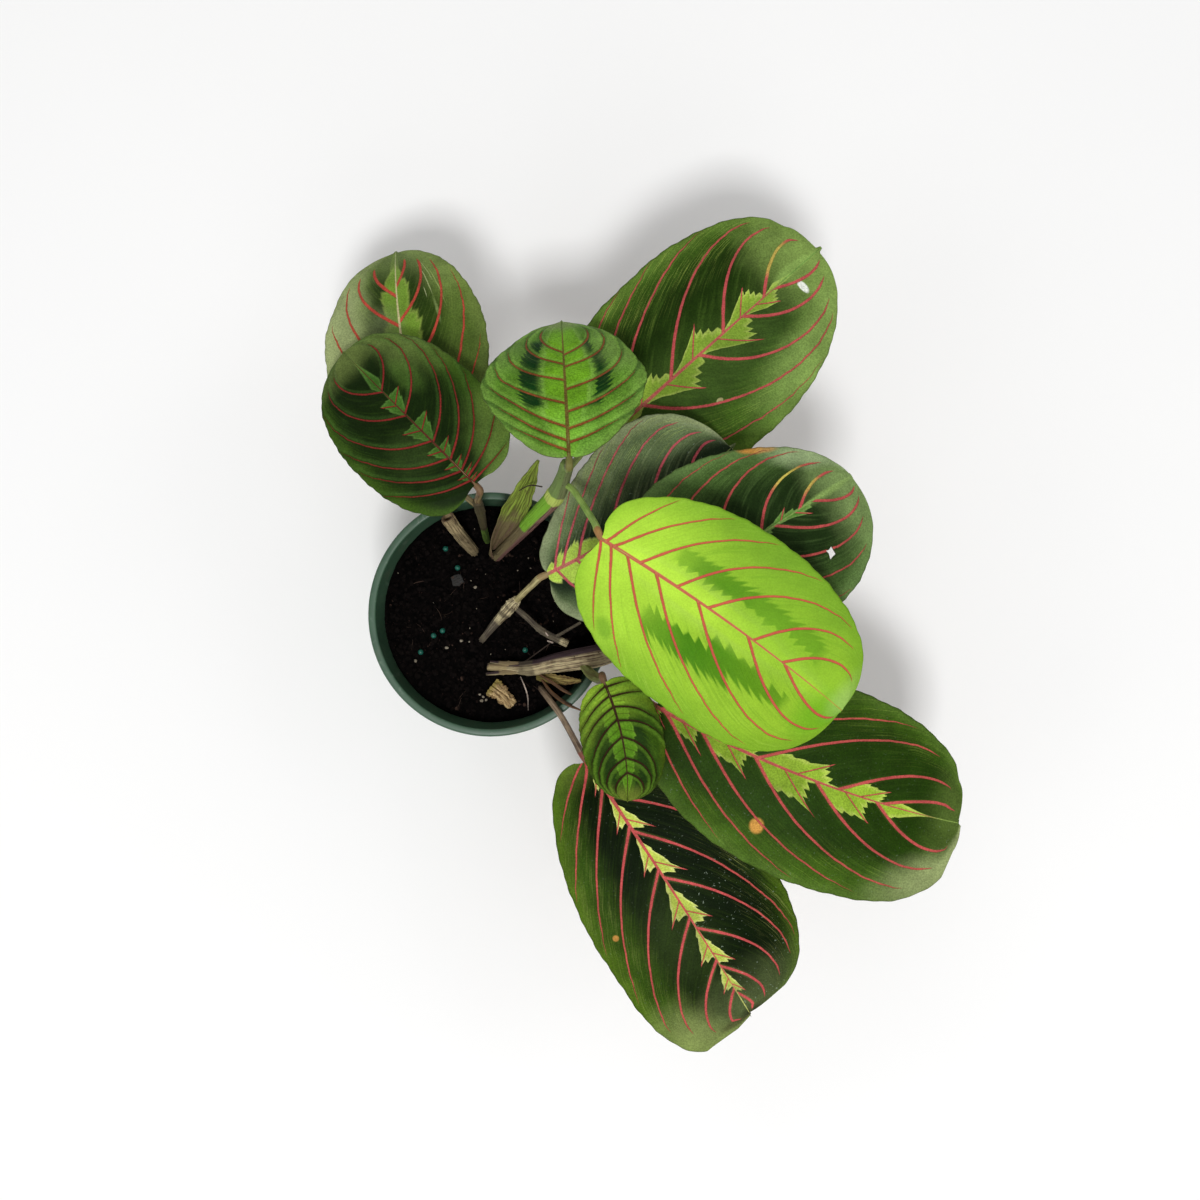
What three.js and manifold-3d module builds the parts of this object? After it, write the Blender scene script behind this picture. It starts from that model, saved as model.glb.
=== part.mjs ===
// A prayer plant (maranta) in a round nursery pot, at its real size in millimetres.
// +Z is up. The origin is the middle of the pot's underside, and the pot's axis is the Z axis.
// Seen from above, +X is to the right and +Y is towards the top of the view.

import * as THREE from "three";
import { mergeVertices } from "three/addons/utils/BufferGeometryUtils.js";
import Module from "manifold-3d";

const wasm = await Module();
wasm.setup();

// Driving dimensions of the pot and what fills it

const RIM_HEIGHT = 92;
const RIM_RADIUS = 52.5;
const LIP_WIDTH = 3.2;
const LIP_THICKNESS = 1.6;
const SKIRT_HEIGHT = 7.6;
const SKIRT_THICKNESS = 1.1;
const WALL = 1.3;
const FOOT_RADIUS = 37.5;
const FLOOR_TOP = 3.6;
const RECESS_DEPTH = 1.6;
const RECESS_INNER = 17;
const RECESS_OUTER = 33;
const DRAIN_RADIUS = 3.5;
const DRAIN_CIRCLE = 25;
const DRAIN_COUNT = 6;
const SOIL_TOP = 81;
const SOIL_BUMP = 0.9;
const SOIL_RINGS = 8;
const SECTORS = 44;

// Clearance between neighbouring pieces, and sizes shared by the plant's pieces

const GAP = 0.3;
const BLADE = 0.8;
const SHEATH = 0.8;
const PETIOLE = 1.35;
const PULVINUS = 1.6;
const KEEL_TIP = 0.5;
const KEEL_REACH = 0.84;
const STEM_SIDES = 8;
const STALK_SIDES = 6;
const ROWS = 16;
const COLUMNS = 8;
const BEAD_RADIUS = 1.3;

const MAT = {
  pot: { color: 0x2f4a3c, roughness: 0.55 },
  soil: { color: 0x17120f, roughness: 0.95 },
  dark: { color: 0x27411f, roughness: 0.5 },
  middle: { color: 0x3b6a26, roughness: 0.5 },
  bright: { color: 0x8cc63a, roughness: 0.45 },
  grey: { color: 0x3b4a3c, roughness: 0.45 },
  stem: { color: 0x7a7a48, roughness: 0.7 },
  woody: { color: 0x9a8a62, roughness: 0.8 },
  bract: { color: 0x7c7a35, roughness: 0.7 },
  dry: { color: 0xb59b62, roughness: 0.85 },
  chip: { color: 0x6e7068, roughness: 0.8 },
  bead: { color: 0x2f7f6c, roughness: 0.4 },
};

const part = new THREE.Group();

function material(name) {
  const { color, roughness } = MAT[name];
  return new THREE.MeshStandardMaterial({ color, roughness, metalness: 0 });
}

function add(name, solid, look) {
  const mesh = new THREE.Mesh(toGeometry(solid), material(look));
  mesh.name = name;
  part.add(mesh);
}

// Solids and meshes

function toSolid(geometry) {
  const bare = geometry.clone();
  bare.deleteAttribute("normal");
  bare.deleteAttribute("uv");
  const merged = mergeVertices(bare, 1e-4);
  const vertProperties = Float32Array.from(merged.attributes.position.array);
  const triVerts = Uint32Array.from(merged.index.array);
  return new wasm.Manifold(new wasm.Mesh({ numProp: 3, vertProperties, triVerts }));
}

function toGeometry(solid) {
  const mesh = solid.getMesh();
  const geometry = new THREE.BufferGeometry();
  const positions = new Float32Array(mesh.numVert * 3);
  for (let i = 0; i < mesh.numVert; i += 1) {
    for (let axis = 0; axis < 3; axis += 1) {
      positions[3 * i + axis] = mesh.vertProperties[mesh.numProp * i + axis];
    }
  }
  geometry.setAttribute("position", new THREE.BufferAttribute(positions, 3));
  geometry.setIndex(Array.from(mesh.triVerts));
  geometry.computeVertexNormals();
  return geometry;
}

function fromFaces(points, faces) {
  const geometry = new THREE.BufferGeometry().setFromPoints(points);
  geometry.setIndex(faces.flat());
  return toSolid(geometry);
}

// The largest body of a solid, which drops a scrap that a cut may leave
function largest(solid) {
  const bodies = solid.decompose();
  return bodies.sort((a, b) => b.volume() - a.volume())[0];
}

function cutAway(solid, cutters) {
  return largest(cutters.reduce((rest, cutter) => rest.subtract(cutter), solid));
}

const vec = (p) => new THREE.Vector3(...p);
const radians = THREE.MathUtils.degToRad;
const mix = THREE.MathUtils.lerp;

// The value at u from 0 to 1 of a list of evenly spaced values
function along(list, u) {
  const at = u * (list.length - 1);
  const i = Math.min(Math.floor(at), list.length - 2);
  return mix(list[i], list[i + 1], at - i);
}

// A round bar through the points, with one radius at each. grow thickens it all over and lengthens its ends.
function bar(path, radii, sides, grow = 0) {
  const points = path.map(vec);
  const last = points.length - 1;
  if (grow > 0) {
    points[0].add(points[0].clone().sub(points[1]).setLength(grow));
    points[last].add(points[last].clone().sub(points[last - 1]).setLength(grow));
  }
  const curve = new THREE.CatmullRomCurve3(points, false, "centripetal");
  const steps = 2 * last;
  const vertices = [];
  let side = null;
  for (let i = 0; i <= steps; i += 1) {
    const u = i / steps;
    const centre = curve.getPoint(u);
    const tangent = curve.getTangent(u);
    side = side ?? new THREE.Vector3(0.31, 0.87, 0.17).cross(tangent);
    side = side.clone().addScaledVector(tangent, -side.dot(tangent)).normalize();
    const up = tangent.clone().cross(side);
    const radius = along(radii, u) + grow;
    for (let k = 0; k < sides; k += 1) {
      const angle = (2 * Math.PI * k) / sides;
      const point = centre.clone().addScaledVector(side, radius * Math.cos(angle));
      vertices.push(point.addScaledVector(up, radius * Math.sin(angle)));
    }
  }
  const start = vertices.push(points[0].clone()) - 1;
  const end = vertices.push(points[last].clone()) - 1;
  const faces = [];
  for (let k = 0; k < sides; k += 1) {
    const next = (k + 1) % sides;
    const rim = steps * sides;
    for (let i = 0; i < steps; i += 1) {
      const a = i * sides + k;
      const b = i * sides + next;
      faces.push([a, b, b + sides], [a, b + sides, a + sides]);
    }
    faces.push([start, next, k], [end, rim + k, rim + next]);
  }
  return fromFaces(vertices, faces);
}

// A thin closed sheet over a surface of u from 0 to 1 and s from -1 to 1, split alike on both faces
function sheet(surface, rows, columns, thickness, spacing = (x) => x) {
  const points = [];
  const step = 1e-3;
  for (const face of [0.5, -0.5]) {
    for (let i = 0; i <= rows; i += 1) {
      for (let j = 0; j <= columns; j += 1) {
        const u = spacing(i / rows);
        const s = (2 * j) / columns - 1;
        const point = surface(u, s);
        const alongU = surface(Math.min(u + step, 1), s).sub(surface(Math.max(u - step, 0), s));
        const acrossS = surface(u, Math.min(s + step, 1)).sub(surface(u, Math.max(s - step, -1)));
        points.push(point.addScaledVector(alongU.cross(acrossS).normalize(), face * thickness));
      }
    }
  }
  const width = columns + 1;
  const other = (rows + 1) * width;
  const faces = [];
  for (let i = 0; i < rows; i += 1) {
    for (let j = 0; j < columns; j += 1) {
      const a = i * width + j;
      const b = a + width;
      faces.push([a, b, b + 1], [a, b + 1, a + 1]);
      faces.push([other + a, other + b + 1, other + b], [other + a, other + a + 1, other + b + 1]);
    }
  }
  const border = [];
  for (let i = 0; i < rows; i += 1) border.push([i * width, (i + 1) * width]);
  for (let j = 0; j < columns; j += 1) border.push([rows * width + j, rows * width + j + 1]);
  for (let i = rows; i > 0; i -= 1) border.push([i * width + columns, (i - 1) * width + columns]);
  for (let j = columns; j > 0; j -= 1) border.push([j, j - 1]);
  for (const [a, b] of border) faces.push([a, other + b, b], [a, other + a, other + b]);
  return fromFaces(points, faces);
}

// The pot: a tapered wall, a flat lip with a hanging skirt, and a foot ring round a drained floor

function innerRadius(z) {
  const top = RIM_RADIUS - LIP_WIDTH;
  return mix(FOOT_RADIUS - WALL + 0.4, top, (z - FLOOR_TOP) / (RIM_HEIGHT - FLOOR_TOP));
}

function makePot() {
  const under = RIM_HEIGHT - LIP_THICKNESS;
  const skirt = RIM_HEIGHT - SKIRT_HEIGHT;
  const lipInner = RIM_RADIUS - LIP_WIDTH;
  const profile = [
    [0, 0],
    [RECESS_INNER, 0],
    [RECESS_INNER + 1, RECESS_DEPTH],
    [RECESS_OUTER - 1, RECESS_DEPTH],
    [RECESS_OUTER, 0],
    [FOOT_RADIUS - 0.6, 0],
    [FOOT_RADIUS, 0.8],
    [innerRadius(skirt) + WALL, skirt],
    [innerRadius(under) + WALL, under],
    [RIM_RADIUS - SKIRT_THICKNESS, under],
    [RIM_RADIUS - SKIRT_THICKNESS, skirt],
    [RIM_RADIUS, skirt],
    [RIM_RADIUS, RIM_HEIGHT - 0.8],
    [RIM_RADIUS - 0.3, RIM_HEIGHT - 0.2],
    [RIM_RADIUS - 0.9, RIM_HEIGHT],
    [lipInner + 0.7, RIM_HEIGHT],
    [lipInner + 0.1, RIM_HEIGHT - 0.5],
    [innerRadius(RIM_HEIGHT - 1.4), RIM_HEIGHT - 1.4],
    [innerRadius(FLOOR_TOP + 2), FLOOR_TOP + 2],
    [innerRadius(FLOOR_TOP) - 1.6, FLOOR_TOP],
    [0, FLOOR_TOP],
  ];
  const outline = profile.map(([radius, height]) => new THREE.Vector2(radius, height));
  const lathe = new THREE.LatheGeometry(outline, SECTORS).rotateX(Math.PI / 2);
  let pot = toSolid(lathe);
  for (let i = 0; i < DRAIN_COUNT; i += 1) {
    const angle = (2 * Math.PI * (i + 0.5)) / DRAIN_COUNT;
    const hole = new THREE.CylinderGeometry(DRAIN_RADIUS, DRAIN_RADIUS, 4 * FLOOR_TOP, 16);
    hole.rotateX(Math.PI / 2);
    hole.translate(DRAIN_CIRCLE * Math.cos(angle), DRAIN_CIRCLE * Math.sin(angle), 0);
    pot = pot.subtract(toSolid(hole));
  }
  return pot;
}

// The potting mix: a plug with a lumpy top, a little lower along the wall

function soilHeight(x, y) {
  const lumps = Math.sin(0.31 * x + 1.7) * Math.cos(0.27 * y - 0.6) + 0.6 * Math.sin(0.62 * y + 0.45 * x);
  const fine = 0.5 * Math.sin(1.1 * x - 0.4) * Math.sin(0.97 * y + 2.1);
  const reach = Math.hypot(x, y) / innerRadius(SOIL_TOP);
  return SOIL_TOP + SOIL_BUMP * 0.5 * (lumps + fine) - 1.5 * reach ** 6;
}

function makeSoil() {
  const bottom = FLOOR_TOP + 2 + GAP;
  const points = [new THREE.Vector3(0, 0, soilHeight(0, 0))];
  for (let ring = 1; ring <= SOIL_RINGS + 1; ring += 1) {
    for (let k = 0; k < SECTORS; k += 1) {
      const angle = (2 * Math.PI * k) / SECTORS;
      const top = ring <= SOIL_RINGS;
      const wall = innerRadius(top ? SOIL_TOP - 2 : bottom) - GAP;
      const radius = top ? (wall * ring) / SOIL_RINGS : wall;
      const x = radius * Math.cos(angle);
      const y = radius * Math.sin(angle);
      points.push(new THREE.Vector3(x, y, top ? soilHeight(x, y) : bottom));
    }
  }
  const last = points.push(new THREE.Vector3(0, 0, bottom)) - 1;
  const faces = [];
  for (let k = 0; k < SECTORS; k += 1) {
    const next = (k + 1) % SECTORS;
    const low = 1 + SOIL_RINGS * SECTORS;
    faces.push([0, 1 + k, 1 + next], [last, low + next, low + k]);
    for (let ring = 0; ring < SOIL_RINGS; ring += 1) {
      const a = 1 + ring * SECTORS + k;
      const b = 1 + ring * SECTORS + next;
      faces.push([a, a + SECTORS, b + SECTORS], [a, b + SECTORS, b]);
    }
  }
  return fromFaces(points, faces);
}

// Stems: each a list of points and the radius at each. The first point is the foot in the soil.

const STEMS = {
  stem_back: {
    look: "stem",
    path: [[-2.2, 31.6, 69], [-2.2, 32.4, 81], [-2.6, 38, 97], [-3.3, 44.4, 107.5], [-3.6, 47, 115]],
    radii: [1.8, 1.9, 2.0, 3.0, 2.7],
  },
  stem_centre: {
    look: "stem",
    path: [
      [2.2, 25.4, 69], [2.2, 25.4, 81], [9, 31.2, 91], [19, 40, 107.5], [29.2, 49.4, 124], [32.4, 55.4, 134],
      [34.2, 59.6, 144],
    ],
    radii: [2.2, 2.3, 2.3, 2.4, 3.9, 2.8, 2.8],
  },
  stem_left: {
    look: "woody",
    path: [[-6, -13, 69], [-4.4, -11.3, 81], [1, -5, 88.5], [9.6, 4.1, 97], [11.8, 6.2, 99.2]],
    radii: [1.8, 2.0, 2.0, 2.5, 2.1],
    branches: [
      { path: [[9.6, 4.1, 97], [15, -0.5, 94], [22.5, -7.2, 91], [33.2, -12.8, 90]], radii: [1.7, 1.8, 1.8, 1.5] },
      { path: [[27.5, -9.8, 90.6], [33, -6.8, 94], [38.7, -3.4, 98]], radii: [0.7, 0.65, 0.6] },
    ],
  },
  stem_right: {
    look: "woody",
    path: [
      [-1.8, -22.8, 83.6], [6, -23.2, 84], [16.9, -23.2, 85.6], [30, -20.5, 90], [42, -18.3, 95.2],
      [50, -16.6, 98], [60, -13.2, 104], [68.4, -10.2, 112.5],
    ],
    radii: [2.0, 2.2, 3.6, 4.5, 4.7, 4.3, 3.7, 4.3],
    branches: [{ path: [[16.9, -23.2, 85.6], [17.6, -24.5, 78], [17.2, -25.2, 69]], radii: [2.3, 2.0, 1.4] }],
  },
  cut_stub: {
    look: "dry",
    path: [[-7.4, 26.8, 69], [-8.3, 28, 81], [-13.4, 34.6, 89.4], [-17.9, 41.4, 97]],
    radii: [2.2, 2.3, 2.7, 2.9],
    bore: { path: [[-12.4, 33.2, 87.4], [-15.4, 37.6, 93], [-19, 43.2, 99]], radii: [1.2, 1.9, 2.0] },
  },
};

function makeStem(stem, grow = 0) {
  let solid = bar(stem.path, stem.radii, STEM_SIDES, grow);
  for (const branch of stem.branches ?? []) {
    solid = solid.add(bar(branch.path, branch.radii, STALK_SIDES, grow));
  }
  if (stem.bore && grow === 0) solid = solid.subtract(bar(stem.bore.path, stem.bore.radii, STEM_SIDES));
  return solid;
}

// Leaves. A blade starts at base and runs length along a midrib that turns by sweep from heading and
// tilts from the first pitch to the second, all in degrees. left and right give each half, seen from above
// with the tip forward: half width, place of the widest point, and how full the base and the tip are.
// roll tips the blade over sideways, fold and camber bend its halves down, wave ripples the margin,
// nose pulls a half forward past the tip, and lobe pulls both back past the base.
// petiole lists the stalk's points from the base down to its foot.

const LEAVES = {
  leaf_back_left_lower: {
    look: "middle", base: [-28.6, 75.2, 108], length: 99,
    left: [37, 0.38, 2.4, 2.1], right: [37.2, 0.4, 2.4, 1.6],
    heading: 102, sweep: -5, pitch: [6, -52], roll: [-10, -14], fold: 6, camber: 22, wave: [0.8, 3, 0.1],
    petiole: [[-27.6, 71.4, 107.8], [-22, 62, 108.8], [-12, 52, 110.5], [-4.6, 45.8, 108.4]],
  },
  leaf_back_left: {
    look: "dark", base: [-2.8, 52.4, 132], length: 90,
    left: [31.5, 0.45, 2.7, 2.1], right: [31.5, 0.35, 2.7, 2.15],
    heading: 135, sweep: 0, pitch: [6, -42], fold: 6, camber: 22, lobe: 0.035, wave: [0.8, 3, 0.4],
    petiole: [[-1.4, 50.6, 131], [-2, 49, 126], [-3.2, 47.6, 119], [-3.5, 46.8, 113]],
  },
  leaf_back_centre: {
    look: "middle", base: [35.2, 61, 160], length: 82,
    left: [34, 0.45, 1.7, 1.35], right: [33, 0.45, 1.7, 1.4],
    heading: 93, sweep: 2, pitch: [-12, -66], fold: 4, camber: 16, wave: [0.8, 3, 0],
    petiole: [[35.3, 57.6, 160], [34.8, 56.6, 155], [34.3, 58.6, 147], [34, 59.2, 141]],
  },
  leaf_back_right: {
    look: "dark", base: [52.1, 76, 109], length: 124,
    left: [44.5, 0.4, 3.0, 2.35], right: [44, 0.4, 3.0, 1.95],
    heading: 41, sweep: 2, pitch: [13, -24], roll: [-8, 0], fold: 6, camber: 20, wave: [1.0, 3, 0.2],
    petiole: [[49.4, 74.2, 108.4], [45, 71.5, 112.5], [39.5, 65.5, 126], [33.6, 57.4, 134.5]],
  },
  leaf_centre_low: {
    look: "grey", base: [25.2, 17, 112], length: 97,
    left: [36, 0.62, 1.75, 2.2], right: [34, 0.45, 2.6, 2.2],
    heading: 24, sweep: 21, pitch: [24, -12], roll: [-6, 14], fold: 6, camber: 20,
    lobe: 0.03, wave: [0.6, 3, 0],
    petiole: [[22.2, 15.6, 110.4], [18.6, 12.4, 106.6], [15, 9.2, 102.6], [10.8, 5.2, 98.2]],
  },
  leaf_right_back: {
    look: "dark", base: [66.9, 4.2, 142], length: 107,
    left: [40, 0.33, 2.4, 1.6], right: [41, 0.52, 2.4, 2.1],
    heading: 33, sweep: -1, pitch: [22, -42], roll: [0, -4], fold: 6, camber: 18, wave: [0.8, 3, 0.3],
    petiole: [[64.4, 2.4, 140.4], [64.6, -2, 132], [67, -7, 121], [68.2, -9.8, 111.8]],
  },
  leaf_top: {
    look: "bright", base: [47.1, 29.7, 166], length: 119,
    left: [37, 0.47, 2.2, 2.4], right: [41, 0.5, 2.5, 2.5],
    heading: -31, sweep: -9, pitch: [2, -12], fold: 6, camber: 12, lobe: 0.03, wave: [0.8, 3, 0.15],
    petiole: [
      [46.2, 32.6, 165], [45.5, 34.8, 161], [42.8, 39.8, 150], [35.6, 51, 134.5],
      [32.2, 53.2, 129.5],
    ],
  },
  leaf_small: {
    look: "middle", base: [48.7, -26.6, 136], length: 53,
    left: [17.2, 0.5, 2.4, 2.2], right: [17.2, 0.5, 2.4, 2.2],
    heading: -66, sweep: -27, pitch: [0, -24], fold: 4, camber: 22, wave: [0, 3, 0], sheath: 2.3,
    petiole: [
      [48, -24.4, 135.4], [48, -24, 131], [48.4, -26, 118], [47.2, -27.2, 105.5],
      [43, -25, 99.4], [39.2, -20.8, 96],
    ],
  },
  leaf_front: {
    look: "dark", base: [40.9, -61.2, 104], length: 138,
    left: [42.3, 0.55, 2.3, 2.6], right: [41.5, 0.56, 2.1, 3.6],
    heading: -55, sweep: -5, pitch: [8, -22], fold: 6, camber: 15,
    lobe: 0.04, nose: [0, 9], wave: [1.0, 4, 0.3],
    petiole: [
      [39.4, -58.6, 103.2], [36.6, -53.6, 101], [30.6, -43.4, 96.4], [24.8, -36, 90],
      [21.6, -32.6, 82], [20.4, -31.4, 70],
    ],
  },
  leaf_right_front: {
    look: "dark", base: [69.8, -37.5, 117], length: 143,
    left: [41.3, 0.5, 2.3, 2.4], right: [43.2, 0.54, 2.1, 2.8],
    heading: -29, sweep: 16, pitch: [10, -18], fold: 6, camber: 15, nose: [0, 3], wave: [1.0, 4, 0.1],
    petiole: [[67, -35.6, 116.2], [64.8, -29, 113.4], [66, -20, 111.4], [67.4, -13.2, 110]],
  },
};

const TIP_POINT = 0.035;

function halfWidth(t, [width, widest, baseFullness, tipFullness]) {
  const end = 1 - TIP_POINT;
  const nearBase = t < widest;
  const reach = nearBase ? (widest - t) / widest : Math.min((t - widest) / (end - widest), 1);
  const fullness = nearBase ? baseFullness : tipFullness;
  const round = Math.max(1 - reach ** fullness, 0) ** (1 / fullness);
  const point = t > 0.6 ? 1.1 * (1 - t) : 0;
  return width * Math.max(round, point);
}

function direction(leaf, t) {
  const pitch = radians(mix(leaf.pitch[0], leaf.pitch[1], t));
  const turn = radians(leaf.heading + leaf.sweep * t);
  const level = Math.cos(pitch);
  return new THREE.Vector3(level * Math.cos(turn), level * Math.sin(turn), Math.sin(pitch));
}

// The midrib's point at t, summed from the base in short straight steps
function midrib(leaf, t) {
  const steps = 60;
  const point = vec(leaf.base);
  for (let i = 0; i < steps; i += 1) {
    point.addScaledVector(direction(leaf, (t * (i + 0.5)) / steps), (leaf.length * t) / steps);
  }
  return point;
}

function frameAt(leaf, t) {
  const forward = direction(leaf, t);
  const turn = radians(leaf.heading + leaf.sweep * t);
  const roll = radians(along(leaf.roll ?? [0, 0], t));
  const level = new THREE.Vector3(-Math.sin(turn), Math.cos(turn), 0);
  const upright = forward.clone().cross(level);
  const left = level.clone().multiplyScalar(Math.cos(roll)).addScaledVector(upright, Math.sin(roll));
  const up = upright.multiplyScalar(Math.cos(roll)).addScaledVector(level, -Math.sin(roll));
  return { forward, left, up };
}

// A point of the blade at t from base to tip and s from -1 (right margin) to +1 (left margin)
function bladePoint(leaf, t, s) {
  const half = s > 0 ? leaf.left : leaf.right;
  const width = halfWidth(t, half);
  const reach = Math.abs(s) * width;
  const fold = radians(leaf.fold);
  const bend = radians(leaf.camber) / half[0];
  const sideways = (Math.sin(fold) - Math.sin(fold - bend * reach)) / bend;
  const [height, count, phase] = leaf.wave;
  const turnOfWave = 2 * Math.PI * (count * t + phase + (s > 0 ? 0.5 : 0));
  const ripple = (height * Math.sin(turnOfWave) * Math.abs(s) ** 3 * width) / half[0];
  const rise = (Math.cos(fold - bend * reach) - Math.cos(fold)) / bend + ripple;
  const nearBase = t / 0.035;
  const nearTip = (1 - t) / 0.06;
  const lobe = (leaf.lobe ?? 0.02) * leaf.length;
  const back = lobe * s * s * Math.sqrt(nearBase) * Math.exp(0.5 * (1 - nearBase));
  const nose = (leaf.nose ?? [0, 0])[s > 0 ? 0 : 1];
  const ahead = nose * Math.abs(s) ** 1.5 * Math.sqrt(nearTip) * Math.exp(0.5 * (1 - nearTip));
  const { forward, left, up } = frameAt(leaf, t);
  const point = midrib(leaf, t);
  point.addScaledVector(left, Math.sign(s) * sideways);
  point.addScaledVector(up, rise);
  return point.addScaledVector(forward, ahead - back);
}

// The stalk and the keel under the midrib, as one tapering bar from near the tip down to the foot
function stalk(leaf, grow = 0) {
  const path = [];
  const radii = [];
  const keelPoints = 5;
  for (let i = 0; i < keelPoints; i += 1) {
    const t = KEEL_REACH * (1 - i / (keelPoints - 1)) + 0.012;
    const radius = mix(PETIOLE, KEEL_TIP, t);
    const below = 0.15 + 0.8 * radius;
    path.push(midrib(leaf, t).addScaledVector(frameAt(leaf, t).up, -below).toArray());
    radii.push(radius);
  }
  leaf.petiole.forEach((point, i) => {
    const foot = i === leaf.petiole.length - 1;
    const inSheath = leaf.sheath && !foot && i >= leaf.petiole.length - 3;
    path.push(point);
    radii.push(i === 0 ? PULVINUS : inSheath ? leaf.sheath : PETIOLE);
  });
  return bar(path, radii, STALK_SIDES, grow);
}

// Rows of the blade lie closer together towards the base and the tip
const closerAtEnds = (x) => 0.004 + 0.992 * 0.5 * (1 - Math.cos(Math.PI * x));

function makeLeaf(leaf) {
  const blade = sheet((t, s) => bladePoint(leaf, t, s), ROWS, COLUMNS, BLADE, closerAtEnds);
  return blade.add(stalk(leaf));
}

// Sheaths and scraps: thin channels along a path. hollow is the direction that the channel opens to,
// radius its bend and reach half the angle that it goes round, each listed from the first end to the last.

const CHANNELS = {
  bract_centre: {
    look: "bract",
    path: [[0.4, 28.2, 83.6], [4.6, 34.6, 93.5], [11, 44, 104.5], [17, 54.5, 114], [21.8, 63.5, 120]],
    hollow: [0.62, -0.72, 0.3],
    radius: [3.2, 4.4, 6, 7, 7],
    reach: [2.1, 1.45, 0.95, 0.5, 0.06],
  },
  bract_right: {
    look: "dry",
    path: [[19.5, -27.3, 84.6], [26, -28.2, 87], [33, -28.6, 89.2], [39, -28.4, 91]],
    hollow: [0, 0.5, -0.86],
    radius: [4, 4, 4, 4],
    reach: [0.5, 0.75, 0.6, 0.08],
  },
  dry_scrap: {
    look: "dry",
    path: [[-0.2, -31.2, 83.4], [3.4, -34, 84.2], [6.6, -37, 84.6], [9.4, -39.6, 84.2]],
    hollow: [0.1, -0.1, -1],
    radius: [7, 4.5, 2.6, 1.9],
    reach: [0.75, 0.95, 1.5, 2.5],
  },
  bark_chip: {
    look: "chip",
    path: [[-17.4, 14.2, 82.4], [-15.2, 14.8, 82.5], [-12.9, 15.8, 82.5]],
    hollow: [0, 0, -1],
    radius: [9, 9, 9],
    reach: [0.22, 0.3, 0.2],
  },
};

function makeChannel(channel, grow = 0) {
  const points = channel.path.map(vec);
  const last = points.length - 1;
  if (grow > 0) {
    points[0].add(points[0].clone().sub(points[1]).setLength(grow));
    points[last].add(points[last].clone().sub(points[last - 1]).setLength(grow));
  }
  const curve = new THREE.CatmullRomCurve3(points, false, "centripetal");
  const hollow = vec(channel.hollow);
  const surface = (u, s) => {
    const forward = curve.getTangent(u);
    const inward = hollow.clone().addScaledVector(forward, -hollow.dot(forward)).normalize();
    const across = inward.clone().cross(forward);
    const radius = along(channel.radius, u);
    const angle = s * (along(channel.reach, u) + grow / radius);
    const point = curve.getPoint(u).addScaledVector(inward, radius * (1 - Math.cos(angle)));
    return point.addScaledVector(across, radius * Math.sin(angle));
  };
  return sheet(surface, 2 * last, 6, SHEATH + 2 * grow);
}

const BEADS = [
  [-20.2, 28.6], [-15, 20.3], [-25.4, -9.3], [-21.6, -7.2], [-31.1, -16.5], [14.5, -15.6],
];

function makeBead([x, y], grow = 0) {
  const ball = new THREE.SphereGeometry(BEAD_RADIUS + grow, 8, 6);
  ball.translate(x, y, soilHeight(x, y) + BEAD_RADIUS * 0.6);
  return toSolid(ball);
}

// Assembly. Each piece is cut clear of what stands in it or passes through it.

const stemShapes = Object.values(STEMS);
const leafShapes = Object.values(LEAVES);
const channelShapes = Object.values(CHANNELS);
const stalkCutters = leafShapes.map((leaf) => stalk(leaf, GAP));
const stemCutters = stemShapes.map((stem) => makeStem(stem, GAP));
const soilCutters = [
  ...stemCutters,
  ...stalkCutters,
  ...channelShapes.map((channel) => makeChannel(channel, GAP)),
  ...BEADS.map((bead) => makeBead(bead, GAP)),
];

add("pot", makePot(), "pot");
add("soil", cutAway(makeSoil(), soilCutters), "soil");
for (const [name, stem] of Object.entries(STEMS)) {
  add(name, cutAway(makeStem(stem), stalkCutters), stem.look);
}
for (const [name, channel] of Object.entries(CHANNELS)) {
  add(name, cutAway(makeChannel(channel), [...stemCutters, ...stalkCutters]), channel.look);
}
for (const [name, leaf] of Object.entries(LEAVES)) {
  add(name, makeLeaf(leaf), leaf.look);
}
BEADS.forEach((bead, i) => add(`fertiliser_bead_${i + 1}`, makeBead(bead), "bead"));

export default part;
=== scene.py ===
# %% [markdown]
# A prayer plant (maranta) in a round nursery pot, seen from straight above.
# The CAD model gives every size and place. This file adds the looks: fine leaf blades with
# veins and blotches, a smooth pot, crumbly potting mix, ribbed stems and dry scraps.
# The frame comes first, because each piece here is built in the same space as the CAD solids.

from types import SimpleNamespace

import bpy
import numpy as np
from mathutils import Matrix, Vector


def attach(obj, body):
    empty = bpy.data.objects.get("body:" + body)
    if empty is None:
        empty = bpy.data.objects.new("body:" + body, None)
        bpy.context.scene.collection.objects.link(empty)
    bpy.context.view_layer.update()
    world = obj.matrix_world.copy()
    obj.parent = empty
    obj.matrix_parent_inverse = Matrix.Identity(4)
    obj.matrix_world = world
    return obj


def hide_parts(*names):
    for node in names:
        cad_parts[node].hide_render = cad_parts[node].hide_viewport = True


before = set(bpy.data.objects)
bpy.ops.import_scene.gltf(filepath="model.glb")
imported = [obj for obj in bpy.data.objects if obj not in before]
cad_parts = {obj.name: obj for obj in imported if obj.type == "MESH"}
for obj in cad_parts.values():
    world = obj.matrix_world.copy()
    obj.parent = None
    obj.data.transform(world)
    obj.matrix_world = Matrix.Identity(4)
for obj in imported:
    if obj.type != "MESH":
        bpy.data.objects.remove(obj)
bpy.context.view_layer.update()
MM = 0.001
print("CAD nodes:", len(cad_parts))

# %% [markdown]
# The camera hangs straight over the plant, a little to the right of the pot's middle.
# The rim of the pot fixes the scale: it is 105 mm across and fills 245 of the picture's 1200 pixels.
# A lens of that angle at 640 mm over the rim gives the same growth of the high leaves.

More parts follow.
